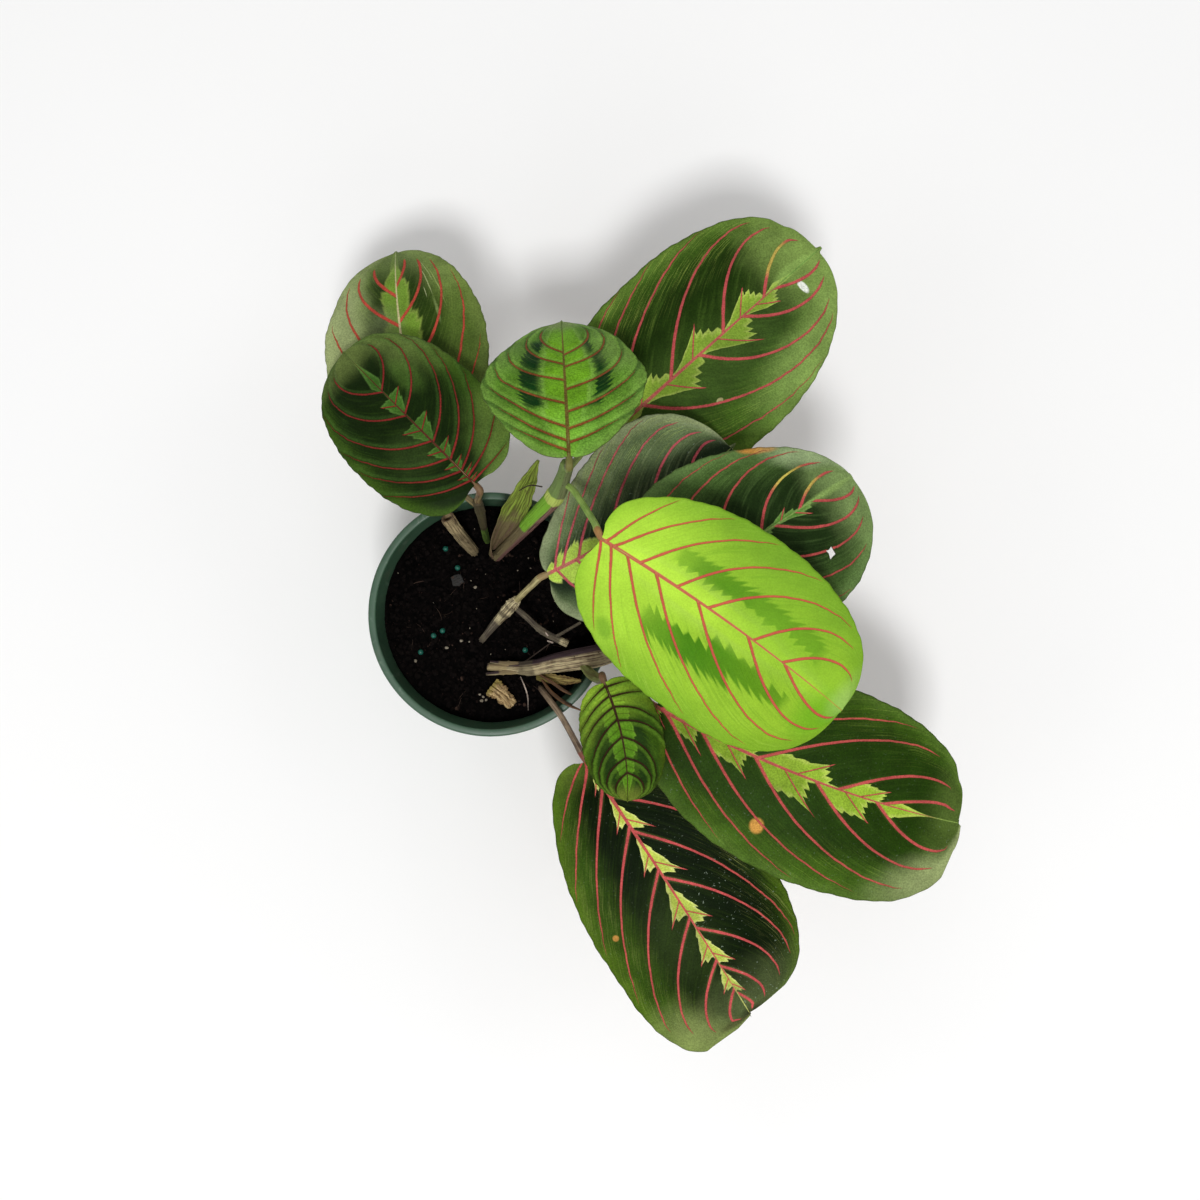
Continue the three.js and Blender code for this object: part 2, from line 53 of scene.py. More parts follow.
# %% Camera
PICTURE = 1200
RIM_HEIGHT = 92
RIM_RADIUS = 52.5
RIM_PIXELS = 244.7
CAMERA_OVER_RIM = 640
CAMERA_PLACE = (47.1, 6.2)


def show(name, data):
    """Puts a camera, a light or a mesh into the scene under a name."""
    made = bpy.data.objects.new(name, data)
    bpy.context.scene.collection.objects.link(made)
    return made


eye = bpy.data.cameras.new("eye")
eye.sensor_width = 36
eye.lens = CAMERA_OVER_RIM * RIM_PIXELS / (2 * RIM_RADIUS) / PICTURE * eye.sensor_width
eye.clip_end = 10
camera = show("eye", eye)
camera.location = (CAMERA_PLACE[0] * MM, CAMERA_PLACE[1] * MM, (RIM_HEIGHT + CAMERA_OVER_RIM) * MM)
bpy.context.scene.camera = camera
print("lens:", round(eye.lens, 2), "mm")

# %% [markdown]
# Mesh code is the same for every piece: a list of points in millimetres and a list of faces.
# One helper turns them into an object, gives it its finishes and makes it ride on the pot.
# Faces that should look flat, such as a cut edge, are left out of the smooth shading.

# %% Make a piece from points and faces
def bare_mesh(name, points, faces):
    mesh = bpy.data.meshes.new(name)
    mesh.from_pydata((np.asarray(points, float) * MM).tolist(), [], [list(map(int, f)) for f in faces])
    return mesh


def make_piece(name, points, faces, materials, slot, finish_of=None, flat=None, maps=None):
    mesh = bare_mesh(name, points, faces)
    for material in materials:
        mesh.materials.append(material)
    if finish_of is not None:
        mesh.polygons.foreach_set("material_index", np.asarray(finish_of, np.int32))
    smooth = np.ones(len(faces), bool) if flat is None else ~np.asarray(flat, bool)
    mesh.polygons.foreach_set("use_smooth", smooth)
    for map_name, corners in (maps or {}).items():
        layer = mesh.uv_layers.new(name=map_name)
        layer.uv.foreach_set("vector", np.asarray(corners, np.float32).ravel())
    mesh.validate()
    mesh.update()
    piece = show(name, mesh)
    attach(piece, "root")
    return piece


# %% [markdown]
# A finish is a small network of shader nodes. Writing it by hand takes many lines, so this helper keeps
# them short: each method adds one node, sets or links its inputs and returns its output, and outputs can
# be added, subtracted and multiplied like numbers. Three numbers on a colour input are red, green, blue.

# %% Shader helper
def linear(red, green, blue):
    """A colour as it is read from a screen, turned into the linear values that Blender uses."""
    screen = np.array([red, green, blue]) / 255
    values = np.where(screen <= 0.04045, screen / 12.92, ((screen + 0.055) / 1.055) ** 2.4)
    return (*values.tolist(), 1.0)


class Value:
    """What a node gives out. A sum, difference or product of values adds a maths node."""

    def __init__(self, finish, socket):
        self.finish, self.socket = finish, socket

    def __add__(self, other):
        return self.finish.math("ADD", self, other)

    def __sub__(self, other):
        return self.finish.math("SUBTRACT", self, other)

    def __rsub__(self, other):
        return self.finish.math("SUBTRACT", other, self)

    def __mul__(self, other):
        return self.finish.math("MULTIPLY", self, other)


class Finish:
    def __init__(self, name, **sockets):
        self.material = bpy.data.materials.new(name)
        self.material.use_nodes = True
        self.nodes = self.material.node_tree.nodes
        self.links = self.material.node_tree.links
        self.shader = self.nodes["Principled BSDF"]
        for socket, value in sockets.items():
            self.set(socket.replace("_", " "), value)

    def plug(self, socket, value):
        if isinstance(value, Value):
            self.links.new(value.socket, socket)
        else:
            socket.default_value = linear(*value) if socket.type == "RGBA" else value

    def set(self, name, value):
        self.plug(self.shader.inputs[name], value)

    def node(self, kind, inputs=(), out=0, **settings):
        made = self.nodes.new("ShaderNode" + kind)
        for key, value in settings.items():
            setattr(made, key, value)
        for key, value in inputs.items() if isinstance(inputs, dict) else enumerate(inputs):
            self.plug(made.inputs[key], value)
        return Value(self, made.outputs[out])

    def math(self, operation, *values):
        return self.node("Math", values, operation=operation)

    def fade(self, value, start, end, low=0.0, high=1.0):
        """Goes smoothly from low, where value is start, to high, where it is end."""
        return self.node("MapRange", {0: value, 1: start, 2: end, 3: low, 4: high},
                         interpolation_type="SMOOTHSTEP")

    def blend(self, share, a, b, kind="MIX"):
        return self.node("Mix", {0: share, 6: a, 7: b}, 2, data_type="RGBA", blend_type=kind)

    def noise(self, scale, detail, at, roughness=0.5):
        """A cloudy pattern over a vector or over three numbers."""
        at = self.node("CombineXYZ", at) if isinstance(at, tuple) else at
        inputs = {"Vector": at, "Scale": scale, "Detail": detail, "Roughness": roughness}
        return self.node("TexNoise", inputs)

    def place(self):
        """The point of the surface in metres, in the object's own space."""
        return self.node("TexCoord", out=3)

    def map(self, name):
        """The two numbers that a map of the mesh holds."""
        both = self.node("SeparateXYZ", (self.node("UVMap", uv_map=name),))
        return both, Value(self, both.socket.node.outputs[1])

    def bump(self, height, distance, strength=1.0):
        inputs = {"Height": height, "Distance": distance, "Strength": strength}
        self.set("Normal", self.node("Bump", inputs))


# %% [markdown]
# The stage is a plain pale floor that runs far past the picture's edge. A soft light overhead,
# a little towards the bottom of the picture, gives the soft shadow that the top leaf throws upwards on
# the leaves below it. A pale sky fills the rest, so no side of the plant is dark.

# %% Floor and lights
FLOOR_HALF = 2000
KEY_POWER, KEY_SIZE = 26.0, 0.42
FILL_POWER, FILL_SIZE, FILL_DISTANCE, FILL_HEIGHT = 5.0, 1.2, 1.75, 1.5
SKY_STRENGTH = 0.38


def make_light(name, place, aim, size, power):
    lamp = bpy.data.lights.new(name, "AREA")
    lamp.size = size
    lamp.energy = power
    light = show(name, lamp)
    light.location = place
    light.rotation_euler = (Vector(aim) - Vector(place)).to_track_quat("-Z", "Y").to_euler()


floor_corners = [(x * FLOOR_HALF, y * FLOOR_HALF, 0) for x, y in ((-1, -1), (1, -1), (1, 1), (-1, 1))]
floor = show("floor", bare_mesh("floor", floor_corners, [(0, 1, 2, 3)]))
paper = Finish("pale_floor", Roughness=0.9)
paper.set("Base Color", paper.blend(paper.noise(3, 3, paper.place()), (250, 250, 249), (246, 246, 246)))
floor.data.materials.append(paper.material)

make_light("key", (0.06, -0.78, 2.15), (0.04, 0.0, 0.1), KEY_SIZE, KEY_POWER)
for i, turn in enumerate((20, 110, 200, 290)):
    away = np.radians(turn)
    place = (FILL_DISTANCE * np.cos(away), FILL_DISTANCE * np.sin(away), FILL_HEIGHT)
    make_light(f"fill_{i + 1}", place, (0.04, 0.0, 0.05), FILL_SIZE, FILL_POWER)
world = bpy.data.worlds.new("sky")
world.use_nodes = True
sky_colour, sky_strength = world.node_tree.nodes["Background"].inputs[:2]
sky_colour.default_value = (1.0, 1.0, 1.0, 1.0)
sky_strength.default_value = SKY_STRENGTH
bpy.context.scene.world = world
bpy.context.scene.view_settings.view_transform = "Standard"
print("stage is set")

# %% [markdown]
# The pot is a thin moulded plastic nursery pot: a tapered wall, a flat lip with a hanging skirt, and a
# foot ring round a drained floor. It is turned from one outline, as on a lathe, and the drain holes are
# cut with a boolean. The outline repeats the CAD's numbers, with small rounds added at the edges.

# %% Pot outline
LIP_WIDTH = 3.2
LIP_THICKNESS = 1.6
SKIRT_HEIGHT = 7.6
SKIRT_THICKNESS = 1.1
WALL = 1.3
FOOT_RADIUS = 37.5
FLOOR_TOP = 3.6
RECESS_DEPTH = 1.6
RECESS_INNER = 17
RECESS_OUTER = 33
DRAIN_RADIUS = 3.5
DRAIN_CIRCLE = 25
DRAIN_COUNT = 6
SOIL_TOP = 81
POT_SECTORS = 176


def inner_radius(z):
    foot = FOOT_RADIUS - WALL + 0.4
    return foot + (RIM_RADIUS - LIP_WIDTH - foot) * (z - FLOOR_TOP) / (RIM_HEIGHT - FLOOR_TOP)


def rounded(corners, radii, steps=4):
    """Replaces each corner of an outline by a short bend of about its radius."""
    corners = np.array(corners, float)
    out = [corners[0]]
    for before, here, after, radius in zip(corners, corners[1:], corners[2:], radii[1:]):
        ends = []
        for side in (before - here, after - here):
            length = np.linalg.norm(side)
            ends.append(here + side / length * min(radius, length * 0.45))
        for u in np.linspace(0, 1, steps):
            out.append((1 - u) ** 2 * ends[0] + 2 * u * (1 - u) * here + u**2 * ends[1])
    return np.array(out + [corners[-1]])


under = RIM_HEIGHT - LIP_THICKNESS
skirt = RIM_HEIGHT - SKIRT_HEIGHT
skirt_inner = RIM_RADIUS - SKIRT_THICKNESS
inside_lip, inside_foot = RIM_HEIGHT - 1.4, FLOOR_TOP + 2
pot_corners = [
    (0, 0), (RECESS_INNER, 0), (RECESS_INNER + 1, RECESS_DEPTH), (RECESS_OUTER - 1, RECESS_DEPTH),
    (RECESS_OUTER, 0), (FOOT_RADIUS, 0), (inner_radius(skirt) + WALL, skirt),
    (inner_radius(under) + WALL, under), (skirt_inner, under), (skirt_inner, skirt), (RIM_RADIUS, skirt),
    (RIM_RADIUS, RIM_HEIGHT), (RIM_RADIUS - LIP_WIDTH, RIM_HEIGHT), (inner_radius(inside_lip), inside_lip),
    (inner_radius(inside_foot), inside_foot), (inner_radius(FLOOR_TOP) - 1.6, FLOOR_TOP), (0, FLOOR_TOP),
]
pot_rounds = [0, 0.3, 0.3, 0.3, 0.3, 1.2, 0.2, 0.4, 0.4, 0.25, 0.25, 1.0, 0.8, 1.0, 1.5, 1.5, 0]
pot_outline = rounded(pot_corners, pot_rounds)
print("pot outline points:", len(pot_outline))

# %% Turn the pot and cut its drain holes
HOLE_SIDES = 36
DRILL_LOW, DRILL_HIGH = -4, 8


def circle(sides):
    turn = 2 * np.pi * np.arange(sides) / sides
    return np.c_[np.cos(turn), np.sin(turn)]


def strung(rings, first, last):
    """Rings of points strung into one shell, closed by a point at each end.
    Gives its points, its faces and the (row, column) of every corner of a face."""
    rows, sides = rings.shape[:2]
    top = 1 + (rows - 1) * sides
    faces, spots = [], []
    for k in range(sides):
        after = (k + 1) % sides
        for i in range(rows - 1):
            a = 1 + i * sides
            faces.append((a + k, a + after, a + sides + after, a + sides + k))
            spots += [(i, k), (i, k + 1), (i + 1, k + 1), (i + 1, k)]
        faces += [(0, 1 + after, 1 + k), (top + sides, top + k, top + after)]
        spots += [(0, sides / 2)] * 3 + [(rows - 1, sides / 2)] * 3
    return np.vstack([first, rings.reshape(-1, 3), last]), faces, spots


def turned(outline, sides):
    """An outline turned round the Z axis. Its first and last points are on the axis."""
    rings = [np.c_[circle(sides) * radius, np.full(sides, height)] for radius, height in outline[1:-1]]
    return strung(np.array(rings), (0, 0, outline[0][1]), (0, 0, outline[-1][1]))


def joined(parts):
    """Several (points, faces, corners) as one."""
    points, faces, corners = [], [], []
    for part_points, part_faces, part_corners in parts:
        faces += [tuple(len(points) + v for v in face) for face in part_faces]
        points += np.asarray(part_points).tolist()
        corners += part_corners
    return points, faces, corners


def cut(piece, points, faces):
    """Takes a shape out of a piece and keeps the result as the piece's mesh."""
    cutter = show("cutter", bare_mesh("cutter", points, faces))
    drill = piece.modifiers.new("drill", "BOOLEAN")
    drill.object = cutter
    drill.operation = "DIFFERENCE"
    shown = piece.evaluated_get(bpy.context.evaluated_depsgraph_get())
    piece.data = bpy.data.meshes.new_from_object(shown)
    piece.modifiers.clear()
    bpy.data.objects.remove(cutter)


plastic = Finish("pot_plastic", Roughness=0.42)
spot = plastic.place()
cloudy = plastic.noise(60, 4, spot)
upright_spot = plastic.node("Mapping", {0: spot, 3: (1, 1, 0.25)})
scuff = plastic.fade(plastic.noise(330, 5, upright_spot), 0.58, 0.8)
dusty = plastic.fade(plastic.noise(140, 6, spot, 0.65), 0.5, 0.75)
green = plastic.blend(cloudy, (46, 74, 56), (66, 98, 74))
worn = plastic.blend(scuff * 0.35, green, (132, 152, 134))
plastic.set("Base Color", plastic.blend(dusty * 0.35, worn, (96, 96, 80)))
plastic.set("Roughness", plastic.fade(cloudy, 0.3, 0.7, 0.36, 0.55))
plastic.bump(scuff + cloudy, 0.0002, 0.4)

pot_points, pot_faces, _ = turned(pot_outline, POT_SECTORS)
pot = make_piece("nursery_pot", pot_points, pot_faces, [plastic.material], "pot_plastic")
holes = []
for angle in 2 * np.pi * (np.arange(DRAIN_COUNT) + 0.5) / DRAIN_COUNT:
    drill = [(0, DRILL_LOW), (DRAIN_RADIUS, DRILL_LOW), (DRAIN_RADIUS, DRILL_HIGH), (0, DRILL_HIGH)]
    points, faces, spots = turned(drill, HOLE_SIDES)
    middle = (DRAIN_CIRCLE * np.cos(angle), DRAIN_CIRCLE * np.sin(angle), 0)
    holes.append((points + middle, faces, spots))
cut(pot, *joined(holes)[:2])
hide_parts("pot")
print("pot faces:", len(pot.data.polygons))

# %% [markdown]
# The potting mix is a dark, fine peat that settled a little below the lip. Its surface is the CAD's
# lumpy top with smaller lumps on it, and loose crumbs, white grains and dry fibres lie on that.
# Each loose thing takes its height from the same function, so all of them rest on the mix.

# %% Potting mix
GAP = 0.3
SOIL_BUMP = 0.9
SOIL_FLOOR = FLOOR_TOP + 2 + GAP
SOIL_RINGS, SOIL_SECTORS = 110, 300
SEED = 11
random = np.random.default_rng(SEED)


def soil_height(x, y):
    lumps = np.sin(0.31 * x + 1.7) * np.cos(0.27 * y - 0.6) + 0.6 * np.sin(0.62 * y + 0.45 * x)
    fine = 0.5 * np.sin(1.1 * x - 0.4) * np.sin(0.97 * y + 2.1)
    reach = np.hypot(x, y) / inner_radius(SOIL_TOP)
    return SOIL_TOP + SOIL_BUMP * 0.5 * (lumps + fine) - 1.5 * reach**6


def crumbly(x, y):
    """Small lumps of the mix, between 0 and 1."""
    total = 0
    for step, (size, share) in enumerate([(1.9, 0.5), (3.7, 0.3), (7.1, 0.2)]):
        warp = 1.3 * np.sin(0.9 * size * y + step)
        total = total + share * np.sin(size * x + warp) * np.sin(size * 1.07 * y + 2.0 * step + warp * 0.7)
    return 0.5 + 0.5 * total


def turned_over(faces):
    """The faces seen from their other side, each with the same first corner."""
    return [(face[0], *face[:0:-1]) for face in faces]


soil_radius = inner_radius(SOIL_TOP - 2) - GAP
radii = soil_radius * np.sqrt(np.linspace(0.0001, 1, SOIL_RINGS))
x, y = np.moveaxis(radii[:, None, None] * circle(SOIL_SECTORS), -1, 0)
top = np.stack([x, y, soil_height(x, y) - 1.3 * crumbly(x, y) ** 1.4], -1)
low = np.c_[circle(SOIL_SECTORS) * (inner_radius(SOIL_FLOOR) - GAP), np.full(SOIL_SECTORS, SOIL_FLOOR)]
soil_points, soil_faces, _ = strung(
    np.concatenate([top, low[None]]), (0, 0, soil_height(0, 0) - 0.6), (0, 0, SOIL_FLOOR))

peat = Finish("potting_mix", Roughness=0.95, Specular_IOR_Level=0.05)
spot = peat.place()
coarse = peat.noise(420, 8, spot, 0.7)
grain = peat.noise(1500, 4, spot, 0.6)
earth = peat.blend(peat.fade(coarse, 0.35, 0.65), (1, 1, 1), (14, 10, 9))
earth = peat.blend(peat.fade(grain, 0.62, 0.74), earth, (40, 30, 25))
pale_bits = peat.fade(peat.noise(900, 3, spot), 0.68, 0.74)
peat.set("Base Color", peat.blend(pale_bits * 0.5, earth, (84, 62, 56)))
peat.bump(coarse + grain, 0.0012)
soil = make_piece("peat_mix", soil_points, turned_over(soil_faces), [peat.material], "potting_mix")
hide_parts("soil")
print("soil faces:", len(soil_faces))

# %% [markdown]
# Crumbs and grains are small lumps. Each starts as a ball of few faces whose points are pushed in and
# out at random, is flattened and turned, and sinks a little into the mix. All lumps of one kind are one
# mesh, which keeps the list of pieces short. The random numbers start from a fixed seed.

# %% Crumbs and white grains
CRUMBS = 1500
FINE_GRAINS = 26
COARSE_GRAINS = [(-9.8, -12.0), (-13.4, -11.6), (-19.8, -14.6), (-7.4, 11.8), (-3.9, -36.1), (-5.4, -35.0),
                 (-2.6, -37.4), (-4.6, -37.8), (-33.5, -20.4), (-18.2, 36.4)]


def ball(rings, sides):
    """Points and faces of a ball of radius 1, from its top down."""
    tilt = np.pi * np.arange(rings + 1) / rings
    points, faces, _ = turned(np.c_[np.sin(tilt), np.cos(tilt)], sides)
    return points, turned_over(faces)


def scattered(places, sizes, rings, sides, rough, flatness, sink):
    """Rough lumps at places on the mix, as points and faces."""
    shape, shape_faces = ball(rings, sides)
    lumps = []
    for (x, y), size in zip(places, sizes):
        lump = shape * (1 + rough * random.uniform(-1, 1, len(shape)))[:, None]
        lump = lump * random.uniform(0.7, 1.15, 3) * (1, 1, flatness)
        tip, spin = random.uniform(-0.5, 0.5), random.uniform(0, 2 * np.pi)
        tilt = np.array([[1, 0, 0], [0, np.cos(tip), -np.sin(tip)], [0, np.sin(tip), np.cos(tip)]])
        turn = np.array([[np.cos(spin), -np.sin(spin), 0], [np.sin(spin), np.cos(spin), 0], [0, 0, 1]])
        middle = (x, y, soil_height(x, y) - 0.5 + size * (flatness - sink))
        lumps.append(((lump * size) @ (turn @ tilt).T + middle, shape_faces, []))
    return joined(lumps)[:2]


def spots_in_pot(count, margin=2.0):
    """Random places on the mix, as (x, y)."""
    reach = (soil_radius - margin) * np.sqrt(random.uniform(0, 1, count))
    turn = random.uniform(0, 2 * np.pi, count)
    return np.c_[reach * np.cos(turn), reach * np.sin(turn)]


crumb_points, crumb_faces = scattered(
    spots_in_pot(CRUMBS), random.uniform(0.35, 1.25, CRUMBS) ** 1.3, 4, 6, 0.28, 0.75, 0.55)
crumb = Finish("peat_crumb", Roughness=0.95, Specular_IOR_Level=0.08)
spot = crumb.place()
crumb_tint = crumb.blend(crumb.noise(260, 2, spot), (1, 1, 1), (22, 16, 14))
pale_crumbs = crumb.fade(crumb.noise(170, 1, spot), 0.66, 0.74)
crumb.set("Base Color", crumb.blend(pale_crumbs, crumb_tint, (66, 50, 42)))
crumb.bump(crumb.noise(2200, 4, spot), 0.0006)
make_piece("peat_crumbs", crumb_points, crumb_faces, [crumb.material], "potting_mix",
           flat=np.ones(len(crumb_faces), bool))

grain_places = np.vstack([COARSE_GRAINS, spots_in_pot(FINE_GRAINS)])
grain_sizes = np.r_[random.uniform(0.5, 0.85, len(COARSE_GRAINS)), random.uniform(0.16, 0.4, FINE_GRAINS)]
grain_points, grain_faces = scattered(grain_places, grain_sizes, 6, 9, 0.16, 0.8, 0.35)
chalk = Finish("white_grain", Roughness=0.85)
spot = chalk.place()
chalk.set("Base Color", chalk.blend(chalk.noise(380, 4, spot), (176, 166, 146), (84, 74, 58)))
chalk.bump(chalk.noise(1800, 5, spot), 0.0005)
make_piece("perlite_grains", grain_points, grain_faces, [chalk.material], "potting_mix")
print("crumbs:", CRUMBS, "grains:", len(grain_places))

# %% [markdown]
# Slow-release fertiliser comes as small round coated beads. Each has a glossy skin and a small dimple
# where it dried. The CAD has one node for each bead, so each fine ball here stands for one of them.

# %% Fertiliser beads
BEAD_RADIUS = 1.2
BEADS = [(-20.2, 28.6), (-15, 20.3), (-25.4, -9.3), (-21.6, -7.2), (-31.1, -16.5), (14.5, -15.6)]
coat = Finish("bead_coat", Roughness=0.3)
mottle = coat.noise(900, 4, coat.place())
coat.set("Base Color", coat.blend(mottle, (10, 64, 56), (30, 106, 88)))
coat.set("Roughness", coat.fade(mottle, 0.35, 0.65, 0.2, 0.5))
coat.bump(mottle, 0.0002)
shape, shape_faces = ball(18, 28)
dimple = 1 - 0.05 * np.exp(-((shape[:, 0] - 0.6) ** 2 + (shape[:, 2] - 0.6) ** 2) / 0.08)
for i, (x, y) in enumerate(BEADS):
    points = shape * dimple[:, None] * BEAD_RADIUS + (x, y, soil_height(x, y) + BEAD_RADIUS * 0.6)
    bead = make_piece(f"slow_feed_bead_{i + 1}", points, shape_faces, [coat.material], "bead")
    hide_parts(f"fertiliser_bead_{i + 1}")
print("beads:", len(BEADS))

# %% [markdown]
# Stems, stalks and fibres are all bent round bars. A smooth curve runs through a few named points, the
# same curve as in the CAD, and rings of points are strung along it. Each ring is turned as little as
# possible against the one before, so ribs along a stem don't twist.

# %% Bent bars
def unit(vectors):
    return vectors / np.maximum(np.linalg.norm(vectors, axis=-1, keepdims=True), 1e-9)


def along(u, shares, rows):
    """Rows of points, given at the shares, read at u."""
    return np.stack([np.interp(u, shares, column) for column in np.transpose(rows)], -1)


def smooth_curve(points, steps):
    """Points along a centripetal curve through the given ones, with steps stretches between each two."""
    p = np.array(points, float)
    p = np.vstack([2 * p[0] - p[1], p, 2 * p[-1] - p[-2]])
    out = []
    for i in range(1, len(p) - 2):
        gaps = [max(np.linalg.norm(p[j + 1] - p[j]) ** 0.5, 1e-4) for j in (i - 1, i, i + 1)]
        a, b, c, d = p[i - 1:i + 3]
        pull_b = ((b - a) / gaps[0] - (c - a) / (gaps[0] + gaps[1]) + (c - b) / gaps[1]) * gaps[1]
        pull_c = ((c - b) / gaps[1] - (d - b) / (gaps[1] + gaps[2]) + (d - c) / gaps[2]) * gaps[1]
        for u in np.arange(steps) / steps:
            out.append(b + pull_b * u + (3 * (c - b) - 2 * pull_b - pull_c) * u**2
                       + (2 * (b - c) + pull_b + pull_c) * u**3)
    return np.array(out + [p[-2]])


def bar(path, radii, sides, steps, swell=None):
    """A closed round bar, which swell(u, angle) may thicken, with (length, turn) at each face corner."""
    line = smooth_curve(path, steps)
    share = np.linspace(0, len(radii) - 1, len(line))
    size = np.interp(share, np.arange(len(radii)), radii)
    size = np.convolve(np.pad(size, steps // 2, mode="edge"), np.ones(steps) / steps, "same")
    size = size[steps // 2:steps // 2 + len(line)]
    ahead = unit(np.gradient(line, axis=0))
    length = np.r_[0, np.cumsum(np.linalg.norm(np.diff(line, axis=0), axis=1))]
    turn = 2 * np.pi * np.arange(sides) / sides
    side = np.cross((0.31, 0.87, 0.17), ahead[0])
    rings = []
    for i, centre in enumerate(line):
        side = unit(side - ahead[i] * side.dot(ahead[i]))
        grow = 1.0 if swell is None else swell(share[i] / (len(radii) - 1), turn)
        reach = size[i] * grow * circle(sides).T
        rings.append(centre + np.outer(reach[0], side) + np.outer(reach[1], np.cross(ahead[i], side)))
    points, faces, spots = strung(np.array(rings), line[0], line[-1])
    return points, faces, [(length[row], column / sides) for row, column in spots]


print("a bar has", len(bar([(0, 0, 0), (0, 0, 9)], [1, 1], 8, 4)[0]), "points")

# %% [markdown]
# A leaf is one thin blade. Its shape is a formula of two numbers: t runs from the base to the tip along
# the midrib, and s runs across, from -1 at the right margin to +1 at the left. The formula and each
# leaf's sizes are the CAD's, so the fine blade lies exactly where the faceted one is.
# A grid of points over t and s then gives as fine a mesh as the veins need.

# %% Leaf sizes and places
LEAVES = {
    "leaf_back_left_lower": dict(base=(-28.6, 75.2, 108), length=99, left=(37, 0.38, 2.4, 2.1),
        right=(37.2, 0.4, 2.4, 1.6), heading=102, sweep=-5, pitch=(6, -52), roll=(-10, -14), fold=6,
        camber=22, wave=(0.8, 3, 0.1), petiole=[(-27.6, 71.4, 107.8), (-22, 62, 108.8), (-12, 52, 110.5),
        (-4.6, 45.8, 108.4)]),
    "leaf_back_left": dict(base=(-2.8, 52.4, 132), length=90, left=(31.5, 0.45, 2.7, 2.1),
        right=(31.5, 0.35, 2.7, 2.15), heading=135, sweep=0, pitch=(6, -42), fold=6, camber=22, lobe=0.035,
        wave=(0.8, 3, 0.4), petiole=[(-1.4, 50.6, 131), (-2, 49, 126), (-3.2, 47.6, 119),
        (-3.5, 46.8, 113)]),
    "leaf_back_centre": dict(base=(35.2, 61, 160), length=82, left=(34, 0.45, 1.7, 1.35),
        right=(33, 0.45, 1.7, 1.4), heading=93, sweep=2, pitch=(-12, -66), fold=4, camber=16,
        wave=(0.8, 3, 0), petiole=[(35.3, 57.6, 160), (34.8, 56.6, 155), (34.3, 58.6, 147),
        (34, 59.2, 141)]),
    "leaf_back_right": dict(base=(52.1, 76, 109), length=124, left=(44.5, 0.4, 3, 2.35),
        right=(44, 0.4, 3, 1.95), heading=41, sweep=2, pitch=(13, -24), roll=(-8, 0), fold=6, camber=20,
        wave=(1, 3, 0.2), petiole=[(49.4, 74.2, 108.4), (45, 71.5, 112.5), (39.5, 65.5, 126),
        (33.6, 57.4, 134.5)]),
    "leaf_centre_low": dict(base=(25.2, 17, 112), length=97, left=(36, 0.62, 1.75, 2.2),
        right=(34, 0.45, 2.6, 2.2), heading=24, sweep=21, pitch=(24, -12), roll=(-6, 14), fold=6, camber=20,
        lobe=0.03, wave=(0.6, 3, 0), petiole=[(22.2, 15.6, 110.4), (18.6, 12.4, 106.6), (15, 9.2, 102.6),
        (10.8, 5.2, 98.2)]),
    "leaf_right_back": dict(base=(66.9, 4.2, 142), length=107, left=(40, 0.33, 2.4, 1.6),
        right=(41, 0.52, 2.4, 2.1), heading=33, sweep=-1, pitch=(22, -42), roll=(0, -4), fold=6, camber=18,
        wave=(0.8, 3, 0.3), petiole=[(64.4, 2.4, 140.4), (64.6, -2, 132), (67, -7, 121),
        (68.2, -9.8, 111.8)]),
    "leaf_top": dict(base=(47.1, 29.7, 166), length=119, left=(37, 0.47, 2.2, 2.4),
        right=(41, 0.5, 2.5, 2.5), heading=-31, sweep=-9, pitch=(2, -12), fold=6, camber=12, lobe=0.03,
        wave=(0.8, 3, 0.15), petiole=[(46.2, 32.6, 165), (45.5, 34.8, 161), (42.8, 39.8, 150),
        (35.6, 51, 134.5), (32.2, 53.2, 129.5)]),
    "leaf_small": dict(base=(48.7, -26.6, 136), length=53, left=(17.2, 0.5, 2.4, 2.2),
        right=(17.2, 0.5, 2.4, 2.2), heading=-66, sweep=-27, pitch=(0, -24), fold=4, camber=22,
        wave=(0, 3, 0), sheath=2.3, petiole=[(48, -24.4, 135.4), (48, -24, 131), (48.4, -26, 118),
        (47.2, -27.2, 105.5), (43, -25, 99.4), (39.2, -20.8, 96)]),
    "leaf_front": dict(base=(40.9, -61.2, 104), length=138, left=(42.3, 0.55, 2.3, 2.6),
        right=(41.5, 0.56, 2.1, 3.6), heading=-55, sweep=-5, pitch=(8, -22), fold=6, camber=15, lobe=0.04,
        nose=(0, 9), wave=(1, 4, 0.3), petiole=[(39.4, -58.6, 103.2), (36.6, -53.6, 101),
        (30.6, -43.4, 96.4), (24.8, -36, 90), (21.6, -32.6, 82), (20.4, -31.4, 70)]),
    "leaf_right_front": dict(base=(69.8, -37.5, 117), length=143, left=(41.3, 0.5, 2.3, 2.4),
        right=(43.2, 0.54, 2.1, 2.8), heading=-29, sweep=16, pitch=(10, -18), fold=6, camber=15,
        nose=(0, 3), wave=(1, 4, 0.1), petiole=[(67, -35.6, 116.2), (64.8, -29, 113.4), (66, -20, 111.4),
        (67.4, -13.2, 110)]),
}
TIP_POINT = 0.035

# %% Leaf surface
MIDRIB_STEPS = 240
LOBE_REACH, NOSE_REACH = 0.035, 0.06


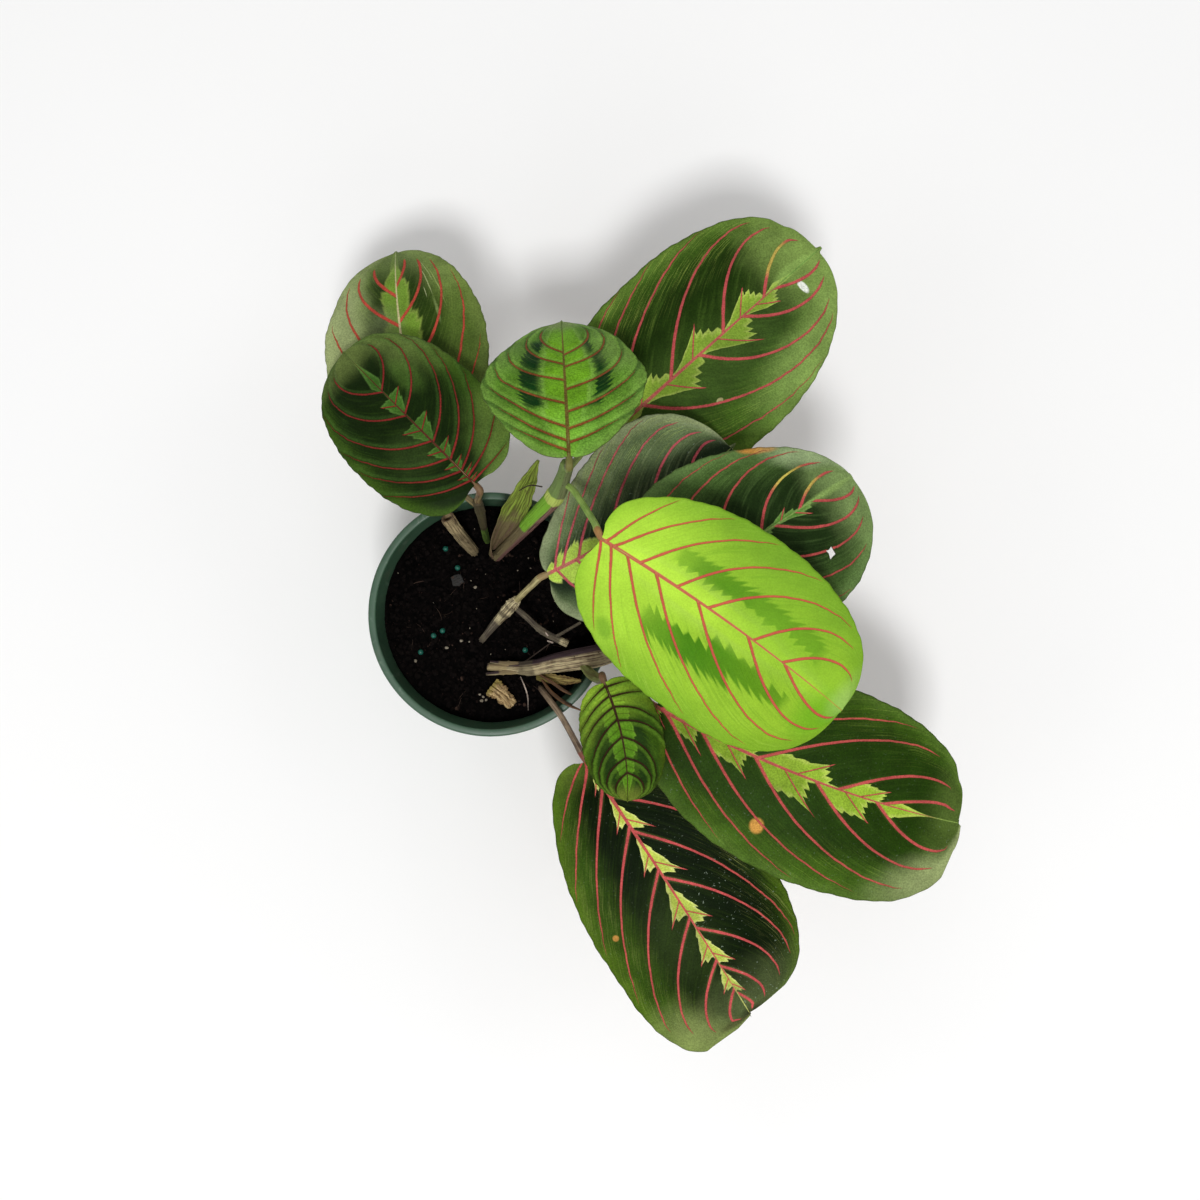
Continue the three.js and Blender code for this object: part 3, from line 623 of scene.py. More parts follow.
def half_width(t, side):
    """Half the blade's width at t, from (widest, where, fullness at the base, fullness at the tip)."""
    widest, where, base_fullness, tip_fullness = side
    end = 1 - TIP_POINT
    reach = np.where(t < where, (where - t) / where, np.clip((t - where) / (end - where), 0, 1))
    fullness = np.where(t < where, base_fullness, tip_fullness)
    round_off = np.clip(1 - reach**fullness, 0, None) ** (1 / fullness)
    return widest * np.maximum(round_off, np.where(t > 0.6, 1.1 * (1 - t), 0))


def midrib(leaf, t):
    """Place, forward, left and up directions of the midrib at t."""
    fine = np.linspace(0, 1, MIDRIB_STEPS + 1)
    pitch = np.radians(leaf["pitch"][0] + (leaf["pitch"][1] - leaf["pitch"][0]) * fine)
    turn = np.radians(leaf["heading"] + leaf["sweep"] * fine)
    ahead = np.c_[np.cos(pitch) * np.cos(turn), np.cos(pitch) * np.sin(turn), np.sin(pitch)]
    steps = (ahead[1:] + ahead[:-1]) / 2 * leaf["length"] / MIDRIB_STEPS
    line = np.vstack([np.zeros(3), np.cumsum(steps, 0)]) + np.array(leaf["base"])
    forward = along(t, fine, ahead)
    turn = np.interp(t, fine, turn)[..., None]
    level = np.concatenate([-np.sin(turn), np.cos(turn), 0 * turn], -1)
    upright = np.cross(forward, level)
    roll = leaf.get("roll", (0, 0))
    tip_over = np.radians(roll[0] + (roll[1] - roll[0]) * np.asarray(t, float))[..., None]
    left = level * np.cos(tip_over) + upright * np.sin(tip_over)
    up = upright * np.cos(tip_over) - level * np.sin(tip_over)
    return along(t, fine, line), forward, left, up


def width_at(leaf, t, s):
    return np.where(s > 0, half_width(t, leaf["left"]), half_width(t, leaf["right"]))


def blade_surface(leaf, t, s):
    """Points of the blade at t and s, two arrays of one shape."""
    place, forward, left, up = midrib(leaf, t)
    on_left = s > 0
    widest = np.where(on_left, leaf["left"][0], leaf["right"][0])
    width = width_at(leaf, t, s)
    reach = np.abs(s) * width
    fold = np.radians(leaf["fold"])
    bend = np.radians(leaf["camber"]) / widest
    sideways = (np.sin(fold) - np.sin(fold - bend * reach)) / bend * np.sign(s)
    height, count, phase = leaf["wave"]
    ripple = height * np.sin(2 * np.pi * (count * t + phase + 0.5 * on_left))
    ripple = ripple * np.abs(s) ** 3 * width / widest
    rise = (np.cos(fold - bend * reach) - np.cos(fold)) / bend + ripple
    near_base, near_tip = t / LOBE_REACH, (1 - t) / NOSE_REACH
    lobe = leaf.get("lobe", 0.02) * leaf["length"]
    back = lobe * s**2 * np.sqrt(near_base) * np.exp(0.5 * (1 - near_base))
    nose = np.where(on_left, *leaf.get("nose", (0, 0)))
    ahead = nose * np.abs(s) ** 1.5 * np.sqrt(near_tip) * np.exp(0.5 * (1 - near_tip))
    return place + left * sideways[..., None] + up * rise[..., None] + forward * (ahead - back)[..., None]


print("widest blade:", max(leaf["left"][0] + leaf["right"][0] for leaf in LEAVES.values()), "mm")

# %% [markdown]
# The side veins leave the midrib at their own places, sweep towards the tip and run out along the
# margin. Each is given by where it starts and where it would meet the margin, as a share of the leaf's
# length. Between two veins a running number, the vein count, goes evenly from one whole number to the
# next. With it the shader can draw veins, blotches that sit between veins, and streaks along them.

# %% Where the side veins run
VEINS = {
    "leaf_back_left_lower": dict(left=[(0.02, 0.3), (0.1, 0.7), (0.22, 1.03), (0.49, 1.15), (0.65, 1.42)],
        right=[(-0.2, 0.46), (-0.1, 0.88), (0.26, 1.22), (0.51, 1.59), (0.71, 2.24)], straight=(0.5, 0.3)),
    "leaf_back_left": dict(left=[(0.03, 0.28), (0.09, 0.45), (0.17, 0.59), (0.28, 0.8), (0.45, 1.12),
        (0.62, 1.43)], right=[(0.02, 0.07), (0.05, 0.22), (0.09, 0.47), (0.16, 0.67), (0.27, 0.83),
        (0.46, 1.06), (0.63, 1.46)]),
    "leaf_back_centre": dict(left=[(0.03, 0.22), (0.08, 0.35), (0.15, 0.51), (0.28, 0.63), (0.42, 0.76),
        (0.53, 1), (0.62, 1.34)], right=[(0.07, 0.24), (0.14, 0.38), (0.23, 0.56), (0.36, 0.74),
        (0.51, 0.92), (0.6, 1.22)]),
    "leaf_back_right": dict(left=[(-0.32, 0.35), (-0.07, 0.5), (0.04, 0.72), (0.265, 0.97), (0.5, 1.12),
        (0.69, 1.43)], right=[(-0.37, 0.77), (0.14, 1.03), (0.39, 1.24), (0.59, 1.7), (0.74, 2.47)],
        straight=(0.5, 0.3)),
    "leaf_centre_low": dict(left=[(0.04, 0.32), (0.08, 0.56), (0.16, 0.8), (0.32, 1.15), (0.52, 1.6),
        (0.72, 1.9)], right=[(0.05, 0.35), (0.15, 0.6), (0.3, 0.85), (0.47, 1.1), (0.65, 1.4)]),
    "leaf_right_back": dict(left=[(-0.28, 0.6), (0.05, 0.79), (0.32, 0.91), (0.49, 1.34), (0.67, 1.85)],
        right=[(0.04, 0.35), (0.13, 0.7), (0.25, 1.05), (0.38, 1.55), (0.55, 2.1), (0.74, 2.5)]),
    "leaf_top": dict(left=[(0.02, 0.17), (0.05, 0.35), (0.15, 0.51), (0.29, 0.68), (0.41, 0.89),
        (0.59, 0.99), (0.71, 1.18)], right=[(0, 0.17), (0.04, 0.3), (0.1, 0.6), (0.21, 0.85), (0.37, 1.14),
        (0.57, 1.42), (0.72, 1.9)], straight=(0.5, 0.5)),
    "leaf_small": dict(left=[(0.04, 0.08), (0.12, 0.18), (0.2, 0.42), (0.31, 0.52), (0.44, 0.95), (0.61, 1),
        (0.73, 1.15)], right=[(0.03, 0.2), (0.11, 0.35), (0.2, 0.5), (0.3, 0.8), (0.44, 1), (0.61, 1.15),
        (0.73, 1.45)]),
    "leaf_front": dict(left=[(0.04, 0.3), (0.13, 0.55), (0.26, 0.88), (0.43, 0.99), (0.62, 1.15),
        (0.77, 1.36), (0.88, 1.55)], right=[(-0.05, 0.2), (0, 0.37), (0.09, 0.59), (0.24, 0.77),
        (0.4, 0.94), (0.58, 1.1), (0.745, 1.2), (0.86, 1.32)], straight=(0.5, 0.5)),
    "leaf_right_front": dict(left=[(0.02, 0.25), (0.1, 0.52), (0.2, 0.84), (0.33, 1.07), (0.58, 1.42),
        (0.72, 2.05)], right=[(-0.08, 0.38), (0.03, 0.59), (0.15, 0.81), (0.32, 1), (0.51, 1.27),
        (0.7, 1.44)], straight=(0.5, 0.5)),
}
SIDE_OFFSET = 20
COUNT_START, COUNT_CUT = -0.3, 0.75


def vein_count(leaf_veins, side, t, q):
    """The running number of veins at t (down the rows) and q from midrib to margin (across the columns)."""
    veins = leaf_veins[side]
    straight = leaf_veins.get("straight", (0.3, 0.3))[side == "right"]
    first, last = np.array(veins[0]), np.array(veins[-1])
    lines = np.vstack([first - (0.12, 0.16), veins, last + (0.14, 0.3), last + (0.6, 0.9)])
    out = straight * q + (1 - straight) * q**3
    places = lines[:, :1] * (1 - out) + lines[:, 1:] * out
    numbers = np.arange(len(lines)) - 1.0
    count = np.stack([np.interp(t, places[:, j], numbers) for j in range(len(q))], 1)
    return np.clip(count, COUNT_START, len(veins) - COUNT_CUT)


def spacing_of(points, count):
    """Millimetres from one vein to the next at each point of a grid."""
    down, across = np.gradient(points, axis=0), np.gradient(points, axis=1)
    change_down, change_across = np.gradient(count)
    e, f, g = (down * down).sum(-1), (down * across).sum(-1), (across * across).sum(-1)
    slope = g * change_down**2 - 2 * f * change_down * change_across + e * change_across**2
    return np.clip(np.sqrt(np.maximum(e * g - f * f, 1e-9) / np.maximum(slope, 1e-9)), 1.0, 90.0)


print("side veins:", sum(len(leaf["left"]) + len(leaf["right"]) for leaf in VEINS.values()))

# %% [markdown]
# The blade is a closed shell: an upper skin, a lower skin and a thin wall along the margin. The skin
# swells a little between veins and sinks along the midrib, as the real blade does. Torn or eaten places
# are cells left out of the grid. Three maps carry, for each corner of a face, t and s, the vein count
# with the vein spacing, and the distances to the midrib and to the margin in millimetres.

# %% Blade mesh
ROWS, COLUMNS = 150, 64
BLADE = 0.6
MARGIN_BLADE = 0.4
SWELL = 0.022
MIDRIB_GROOVE = 0.28
SHRINK = 0.35
BASE_END, TIP_END = 0.004, 0.996
HOLE_PULL, HOLE_EDGE = (0.72, 1.28), 0.97
UPPER, LOWER, WALLS, STALK = range(4)


def notch(t, places):
    """How much of the half width is left at t, beside the notches given as (t, depth, half length)."""
    left = np.ones_like(t)
    for centre, depth, size in places:
        left = left - depth * np.clip(1 - np.abs(t - centre) / size, 0, 1) ** 0.8
    return left


def from_hole(t, s, hole):
    """How far (t, s) is from the middle of a ragged hole (t, s, length, width), where 1 is its edge."""
    off_t, off_s = t - hole[0], s - hole[1]
    return np.hypot(off_t / hole[2], off_s / hole[3]) / (1 + 0.2 * np.sin(5 * np.arctan2(off_s, off_t)))


def blade_grid(leaf, veins, damage, rows, columns):
    """The shell's upper and lower points, which cells are kept, and the three maps at each grid point.
    The vein map is given twice, for the right and for the left half, as both halves hold the midrib."""
    end = damage.get("end", TIP_END)
    t = BASE_END + (end - BASE_END) * 0.5 * (1 - np.cos(np.pi * np.linspace(0, 1, rows + 1)))
    s = np.linspace(-1, 1, columns + 1)
    tt, ss = np.meshgrid(t, s, indexing="ij")
    for hole in damage.get("holes", []):
        away = from_hole(tt, ss, hole)
        pull = np.where((away > HOLE_PULL[0]) & (away < HOLE_PULL[1]), 1 / np.maximum(away, 1e-6), 1)
        tt, ss = hole[0] + (tt - hole[0]) * pull, hole[1] + (ss - hole[1]) * pull
    width = width_at(leaf, tt, ss)
    kept = np.where(ss > 0, notch(tt, damage.get("left", [])), notch(tt, damage.get("right", [])))
    ragged = 0.16 * np.sin(61 * tt + 1.3 * np.sign(ss)) + 0.12 * np.sin(137 * tt)
    trim = kept * (1 - (damage.get("shrink", SHRINK) + ragged * np.abs(ss)) / np.maximum(width, 2.5))
    points = blade_surface(leaf, tt, ss * trim)
    normal = unit(np.cross(np.gradient(points, axis=0), np.gradient(points, axis=1)))

    half = columns // 2
    counts, spacings = [], []
    for side, block in (("right", slice(0, half + 1)), ("left", slice(half, None))):
        counts.append(vein_count(veins, side, t, np.abs(s[block])))
        spacings.append(spacing_of(points[:, block], counts[-1]))
    count, spacing = (np.concatenate([right[:, :-1], left], 1) for right, left in (counts, spacings))
    fade = np.clip(np.abs(ss) / 0.12, 0, 1) * (1 - np.abs(ss) ** 4) * np.clip(tt / 0.1, 0, 1)
    swell = damage.get("swell", SWELL) * np.minimum(spacing, 18) * fade
    swell = swell * (0.5 - 0.5 * np.cos(2 * np.pi * count))
    from_midrib, from_margin = np.abs(ss) * width, (1 - np.abs(ss)) * width
    groove = MIDRIB_GROOVE * np.exp(-((from_midrib / 0.9) ** 2)) * (1 - tt)
    skin = points + normal * (swell - groove)[..., None]
    thick = MARGIN_BLADE + (BLADE - MARGIN_BLADE) * np.sqrt(np.clip(1 - np.abs(ss), 0, 1))
    shell = np.vstack([(skin + sign * normal * thick[..., None] / 2).reshape(-1, 3) for sign in (1, -1)])
    cells = np.ones((rows, columns), bool)
    for hole in damage.get("holes", []):
        middle_t, middle_s = (tt[:-1, :-1] + tt[1:, 1:]) / 2, (ss[:-1, :-1] + ss[1:, 1:]) / 2
        cells &= from_hole(middle_t, middle_s, hole) > HOLE_EDGE

    def facts(i, j, column):
        left = column >= half
        k = j - half if left else j
        vein = (counts[left][i, k] + SIDE_OFFSET * left, spacings[left][i, k])
        return (tt[i, j], ss[i, j]), vein, (from_midrib[i, j], from_margin[i, j])

    return shell, cells, facts


def blade_mesh(leaf, veins, damage, rows=ROWS, columns=COLUMNS):
    """Points, faces, the kind of each face, and the three maps at each face corner."""
    shell, cells, facts = blade_grid(leaf, veins, damage, rows, columns)
    stride, below = columns + 1, len(shell) // 2
    faces, kinds, maps = [], [], ([], [], [])

    def face(vertices, kind, known):
        faces.append(vertices)
        kinds.append(kind)
        for corner in known:
            for one_map, pair in zip(maps, corner):
                one_map.append(pair)

    for i, j in np.argwhere(cells).tolist():
        spots = [(i, j), (i + 1, j), (i + 1, j + 1), (i, j + 1)]
        known = [facts(a, b, j) for a, b in spots]
        top = [a * stride + b for a, b in spots]
        face(top, UPPER, known)
        face([below + v for v in top[::-1]], LOWER, known[::-1])
        for n, (a, b) in enumerate([(i, j - 1), (i + 1, j), (i, j + 1), (i - 1, j)]):
            if not (0 <= a < rows and 0 <= b < columns and cells[a, b]):
                m = (n + 1) % 4
                wall = [top[m], top[n], below + top[n], below + top[m]]
                face(wall, WALLS, [known[m], known[n], known[n], known[m]])
    used, renumbered = np.unique(np.array(faces), return_inverse=True)
    return shell[used], renumbered.reshape(-1, 4).tolist(), kinds, maps


trial = blade_mesh(LEAVES["leaf_small"], VEINS["leaf_small"], {}, 20, 10)
print("trial blade:", len(trial[0]), "points,", len(trial[1]), "faces")

# %% [markdown]
# The upper skin of each leaf has the same parts in other colours: a ground that pales towards the
# margin, dark patches between the veins, pale toothed blotches along the midrib, and red veins that taper
# off before they reach the margin. Some leaves add painted shade in a strip beside each vein and a painted
# highlight just past it, for the light on the swollen blade, and pale flecks that are partly dust, partly
# painted sheen. A blotch is drawn as a line of points (share of the way from one vein
# to the next, share of the full reach), so its teeth sit where they do on the real leaf. The teeth of the
# dark patches rise slowly, drop fast and have random heights. Pairs give (left, right) of the leaf.
# Soft marks at a place of the blade add what only that leaf has: a pale tip, a dry spot, a scratch; on one
# leaf they also paint highlight on its tip and right margin.

# %% Upper skin of a blade
TONES = ("dark", "mid", "margin", "light", "light_edge", "vein", "vein_end", "midrib", "midrib_end")
OLD_VEIN, DUST_AND_SHEEN = (196, 184, 84), (150, 166, 146)
# In PLAIN_LOOK and LOOKS, crease is painted shade in a strip beside each vein, glint is a painted highlight
# just past each vein, and flecks are pale flecks that are partly dust and partly painted sheen.
PLAIN_LOOK = dict(rim=(58, 62, 34), dark_from=(-1, -1), dark_until=(0.66, 0.66), dark_soft=0.32,
    dark_jag=0.16, dark_teeth=0, dark_shift=0, dark_rows=(-0.3, -0.2, 1.4, 1.5), light_reach=(0.22, 0.22),
    blotch=((0, 1), (1, 1)), twig_at=0.5, twig=1, light_rows=(0.55, 0.95), light_soft=0.006, margin_band=9,
    vein_width=0.62, vein_stop=2.2, halo=0.1, mottle=0.2, mottle_in_dark=1, midrib_width=0.8,
    midrib_pale=(0.75, 0.92), streaks=0.25, flecks=(0, 0), rim_share=0.4, velvet=1, crease=0, glint=0,
    vein_tip=8, roughness=0.5, gloss=0.04, old_veins=None, marks=(), seed=0, damage=dict())


def vein_distance(finish):
    """The vein count, its fraction, the spacing and the distance to the nearest vein in millimetres."""
    count, spacing = finish.map("vein")
    cell = finish.math("FRACT", count)
    return count, cell, spacing, finish.math("MINIMUM", cell, 1.0 - cell) * spacing


def leaf_skin(name, look):
    tone = SimpleNamespace(**dict(zip(TONES, look.tones)))
    skin = Finish(name, Roughness=look.roughness, Specular_IOR_Level=look.gloss)
    math, fade, blend, noise = skin.math, skin.fade, skin.blend, skin.noise
    t, s = skin.map("blade")
    count, cell, spacing, to_vein = vein_distance(skin)
    from_midrib, from_margin = skin.map("reach")
    q = math("ABSOLUTE", s)
    on_left = math("GREATER_THAN", s, 0.0)
    spot = skin.place()
    cloud = noise(70.0, 3.0, spot)

    def streaks(across, along_vein, seed, detail=2.0):
        """A pattern drawn out along the veins."""
        return noise(1.0, detail, (count * across, q * along_vein, seed))

    def by_side(pair):
        return on_left * (pair[0] - pair[1]) + pair[1]

    def chance(number, rounding="FLOOR"):
        return skin.node("TexWhiteNoise", {1: math(rounding, number)}, noise_dimensions="1D")

    def teeth(number, seed):
        run = count * number + (seed + look.seed)
        within = math("FRACT", run)
        return math("MINIMUM", within * 1.45, (1.0 - within) * 3.2) * (chance(run) * 0.8 + 0.4)

    def drawn_line(value, line):
        """The height of a line of (place, height) points, read at a value between 0 and 1."""
        drawn = skin.node("ValToRGB", (value,))
        stops = drawn.socket.node.color_ramp.elements
        for stop, (_, height) in ((stops[0], line[0]), (stops[1], line[-1])):
            stop.color = (height, height, height, 1)
        for place, height in line[1:-1]:
            stops.new(place).color = (height, height, height, 1)
        return drawn

    def oval(place, long, wide, soft, share):
        """A soft oval at (t, s) of the blade, long and wide in the same shares."""
        off = skin.node("CombineXYZ", ((t - place[0]) * (1 / long), (s - place[1]) * (1 / wide), 0.0))
        away = skin.node("VectorMath", (off,), out=1, operation="LENGTH")
        return fade(cloud * 0.7 + (away - 0.35), 1 + soft, 1 - soft, 0.0, share)

    side_count = count - on_left * SIDE_OFFSET
    past_last = side_count - by_side([len(VEINS[name][side]) - COUNT_CUT for side in ("left", "right")])
    between = fade(side_count, COUNT_START + 0.01, -0.1) * fade(past_last, -0.01, -0.12)
    streaky = streaks(16.0, 1.8, look.seed, 3.0)
    hairline = streaks(70.0, 5.0, look.seed)

    band = cloud * 8.0 + (from_margin - 4.0)
    base = blend(fade(band, look.margin_band, 0.5), tone.mid, tone.margin)
    shift = (chance(count) - 0.5) * look.dark_shift
    outer = teeth(5.0, 2.2) * look.dark_teeth + by_side(look.dark_until) - (
        q - ((streaky - 0.5) * (look.dark_jag * 2) + shift))
    inner = teeth(4.0, 7.7) * look.dark_teeth + (q - shift - by_side(look.dark_from))
    rows = look.dark_rows
    dark = fade(outer, -0.5 * look.dark_soft, 0.5 * look.dark_soft) * fade(inner, -0.012, 0.012)
    dark = dark * (fade(t, rows[0], rows[1]) * fade(t, rows[3], rows[2]))
    base = blend(dark, base, tone.dark)
    slow = streaks(9.0, 2.5, 5.0)
    mottle = fade(slow, 0.48, 0.72, 0.0, look.mottle) * between
    base = blend(mottle * fade(dark, 0.0, 1.0, 1.0, look.mottle_in_dark), base, tone.margin)
    faint = fade(hairline, 0.56, 0.72) * fade(q, 0.35, 0.8, 0.0, look.streaks)
    base = blend(faint * between, base, tone.light_edge)

    own = chance(on_left * 0.5 + (count + look.seed))
    bent_cell = (streaks(5.0, 3.0, 9.0) - 0.5) * 0.12 + cell
    reach = drawn_line(bent_cell, look.blotch) * by_side(look.light_reach) * (own * 0.35 + 0.82)
    reach = reach * fade(t, look.light_rows[1], look.light_rows[0])
    edge = (streaky - 0.5) * 0.02 + (reach - q)
    light_tint = blend(fade(edge, 0.0, 0.05), tone.light_edge, tone.light)
    base = blend(fade(edge, -look.light_soft, look.light_soft), base, light_tint)
    for *where, tint in look.marks:
        base = blend(oval(*where), base, tint)

    # Painted shade and highlight: crease darkens a strip beside each vein and glint paints a highlight just
    # past it, standing in for light on the swollen blade between veins.
    base = blend(fade(to_vein, 1.6, 0.4, 0.0, look.crease), base, tone.dark)
    past_vein = cell * spacing
    glint = fade(past_vein, 0.3, 0.9) * fade(past_vein, 2.6, 1.1, 0.0, look.glint)
    base = blend(glint, base, tone.light_edge)
    halo = fade(to_vein, 1.5, 0.5) * fade(q, 0.4, 0.05, 0.0, look.halo)
    base = blend(halo, base, tone.light_edge)
    wander = streaks(3.0, 14.0, 4.0)
    vein_end = chance(count, "ROUND") * -1.6 + (from_margin - look.vein_stop)
    vein_end = vein_end - fade(t, 0.78, 0.95, 0.0, look.vein_tip)
    width = fade(q, 0.0, 1.0, look.vein_width, 0.5 * look.vein_width) * (
        fade(wander, 0.2, 0.8, 0.85, 1.15) * fade(vein_end, 0.0, 5.0, 0.35, 1.0))
    drawn = fade(to_vein - width, 0.12, -0.12) * fade(vein_end, -0.8, 0.8)
    off_peak = math("ABSOLUTE", cell - look.twig_at) * spacing
    twig = fade(off_peak, 0.38, 0.16) * fade(reach * 1.12 - q, -0.004, 0.01, 0.0, look.twig)
    vein = math("MAXIMUM", drawn, twig)
    vein_tint = blend(fade(q, 0.25, 0.9), tone.vein, tone.vein_end)
    if look.old_veins:
        vein_tint = blend(oval(*look.old_veins), vein_tint, OLD_VEIN)
    base = blend(vein * 0.95, base, vein_tint)

    rib = from_midrib - fade(t, 0.0, 1.0, look.midrib_width, 0.25 * look.midrib_width)
    rib_tint = blend(fade(t, *look.midrib_pale), tone.midrib, tone.midrib_end)
    base = blend(fade(rib, 0.16, -0.16), base, rib_tint)
    base = blend(fade(from_margin, 0.5, 0.15, 0.0, look.rim_share), base, look.rim)
    # Pale flecks, partly dust and partly painted sheen.
    fleck = fade(noise(900.0, 2.0, spot), 0.67, 0.72) * (by_side(look.flecks) * cloud)
    base = blend(fleck, base, DUST_AND_SHEEN)
    nap = look.velvet
    velvet = fade(noise(1500.0, 2.0, spot), 0.25, 0.75, 1 - 0.24 * nap, 1 + 0.2 * nap)
    shade = velvet * fade(noise(110.0, 2.0, spot), 0.25, 0.75, 1 - 0.16 * nap, 1 + 0.13 * nap)
    skin.set("Base Color", blend(1.0, base, shade, "MULTIPLY"))
    skin.bump(hairline * 0.25 + (vein * -0.8 + streaky * 0.3), 0.0005, 0.8)
    return skin.material


# %% [markdown]
# The underside of this kind of prayer plant is paler and flushed with wine red, and its veins stand
# out. The cut wall of the blade is one thin line of the margin's colour. Stalks are green with fine
# lengthwise ribs and red-brown where they swell under the blade.

# %% Underside, margin and stalk
def leaf_underside(name, pale, flush):
    under = Finish(name, Roughness=0.55)
    count, _, _, to_vein = vein_distance(under)
    vein = under.fade(to_vein, 0.8, 0.3)
    cloud = under.noise(60.0, 4.0, under.place())
    fine = under.noise(1.0, 2.0, (count * 40.0, cloud, 0.0))
    base = under.blend(under.fade(cloud, 0.35, 0.65), pale, flush)
    base = under.blend(under.fade(fine, 0.4, 0.8, 0.0, 0.4), base, (70, 84, 50))
    under.set("Base Color", under.blend(vein * 0.8, base, (176, 92, 88)))
    under.bump(vein + fine * 0.4, 0.0004, 0.7)
    return under.material


def plain_rim(name, tint):
    rim = Finish(name, Roughness=0.6)
    shade = rim.noise(300.0, 3.0, rim.place())
    rim.set("Base Color", rim.blend(shade, tint, [0.7 * c for c in tint]))
    return rim.material


def ribbed(name, pale, deep, bands=(), ribs=9.0, roughness=0.55, second=None, relief=0.0005):
    """A stalk or stem finish with ribs along it. bands are (from mm, to mm, colour, share) along its
    length. second is (colour, turn) for a stem that has another colour on one side."""
    bark = Finish(name, Roughness=roughness, Specular_IOR_Level=0.3)
    length, turn = bark.map("blade")
    around = turn * (2 * np.pi)
    ring = [bark.math(wave, around) * (ribs * 0.3) for wave in ("COSINE", "SINE")]
    lines = bark.noise(1.0, 4.0, (*ring, length * 0.06), 0.65)
    spot = bark.place()
    cloud = bark.noise(240.0, 4.0, spot)
    uneven = cloud - 0.5
    base = bark.blend(bark.fade(lines + uneven * 0.4, 0.35, 0.65), deep, pale)
    if second:
        facing = bark.math("COSINE", around - second[1]) + (lines - 0.5) * 0.9
        base = bark.blend(bark.fade(facing, 0.0, 0.35), base, second[0])
    wander = length + uneven * 3.0
    for start, end, tint, share in bands:
        inside = bark.fade(wander, start - 0.6, start + 0.6) * bark.fade(wander, end + 0.6, end - 0.6)
        base = bark.blend(inside * share, base, tint)
    pits = bark.fade(bark.noise(760.0, 2.0, spot), 0.68, 0.74, 0.0, 0.8)
    bark.set("Base Color", bark.blend(pits, base, (48, 36, 26)))
    bark.bump(lines + cloud * 0.5, relief, 0.9)
    return bark.material


print("leaf finishes are ready")

# %% [markdown]
# Each leaf's own colours and marks, as judged: a lime leaf on top with mid-green patches, dark velvety
# leaves with red veins, a grey one below whose grey is partly its own colour and partly painted satin
# sheen, and two fresh ones with brown veins. The tones are in the order of TONES, and the stalk's are pale,
# deep and cushion. A mark is (place as (t, s), length, width, softness, share, colour), with sizes as
# shares of the blade. Damage gives notches as (t, depth, half length), holes as (t, s, length, width),
# where the blade ends, and how much it swells or shrinks.

# %% Each leaf's own look
WIDE_BLOTCH = ((0, 0.72), (0.18, 0.8), (0.3, 0.9), (0.36, 0.82), (0.5, 1), (0.56, 0.84), (0.75, 0.88),
    (0.9, 0.6), (1, 0.7))
OAK_BLOTCH = ((0, 0.1), (0.08, 0.14), (0.18, 0.26), (0.26, 0.5), (0.33, 0.66), (0.41, 1), (0.46, 0.68),
    (0.55, 0.78), (0.6, 0.52), (0.7, 0.57), (0.76, 0.34), (0.88, 0.36), (1, 0.1))
HOLLY_BLOTCH = ((0, 0.62), (0.08, 0.78), (0.17, 0.68), (0.24, 0.8), (0.34, 0.72), (0.4, 0.84), (0.48, 1),
    (0.53, 0.6), (0.6, 0.62), (0.65, 0.36), (0.74, 0.36), (0.8, 0.12), (1, 0.06))
ARROW_BLOTCH = ((0, 0.03), (0.24, 0.06), (0.3, 0.3), (0.36, 0.26), (0.46, 0.55), (0.56, 0.62), (0.65, 1),
    (0.7, 0.6), (0.79, 0.58), (0.84, 0.22), (0.9, 0.06), (1, 0.03))
EARLY_BLOTCH = ((0, 0.1), (0.06, 0.35), (0.15, 0.5), (0.22, 0.74), (0.3, 0.66), (0.42, 1), (0.48, 0.85),
    (0.56, 0.5), (0.62, 0.36), (0.68, 0.06), (1, 0.04))
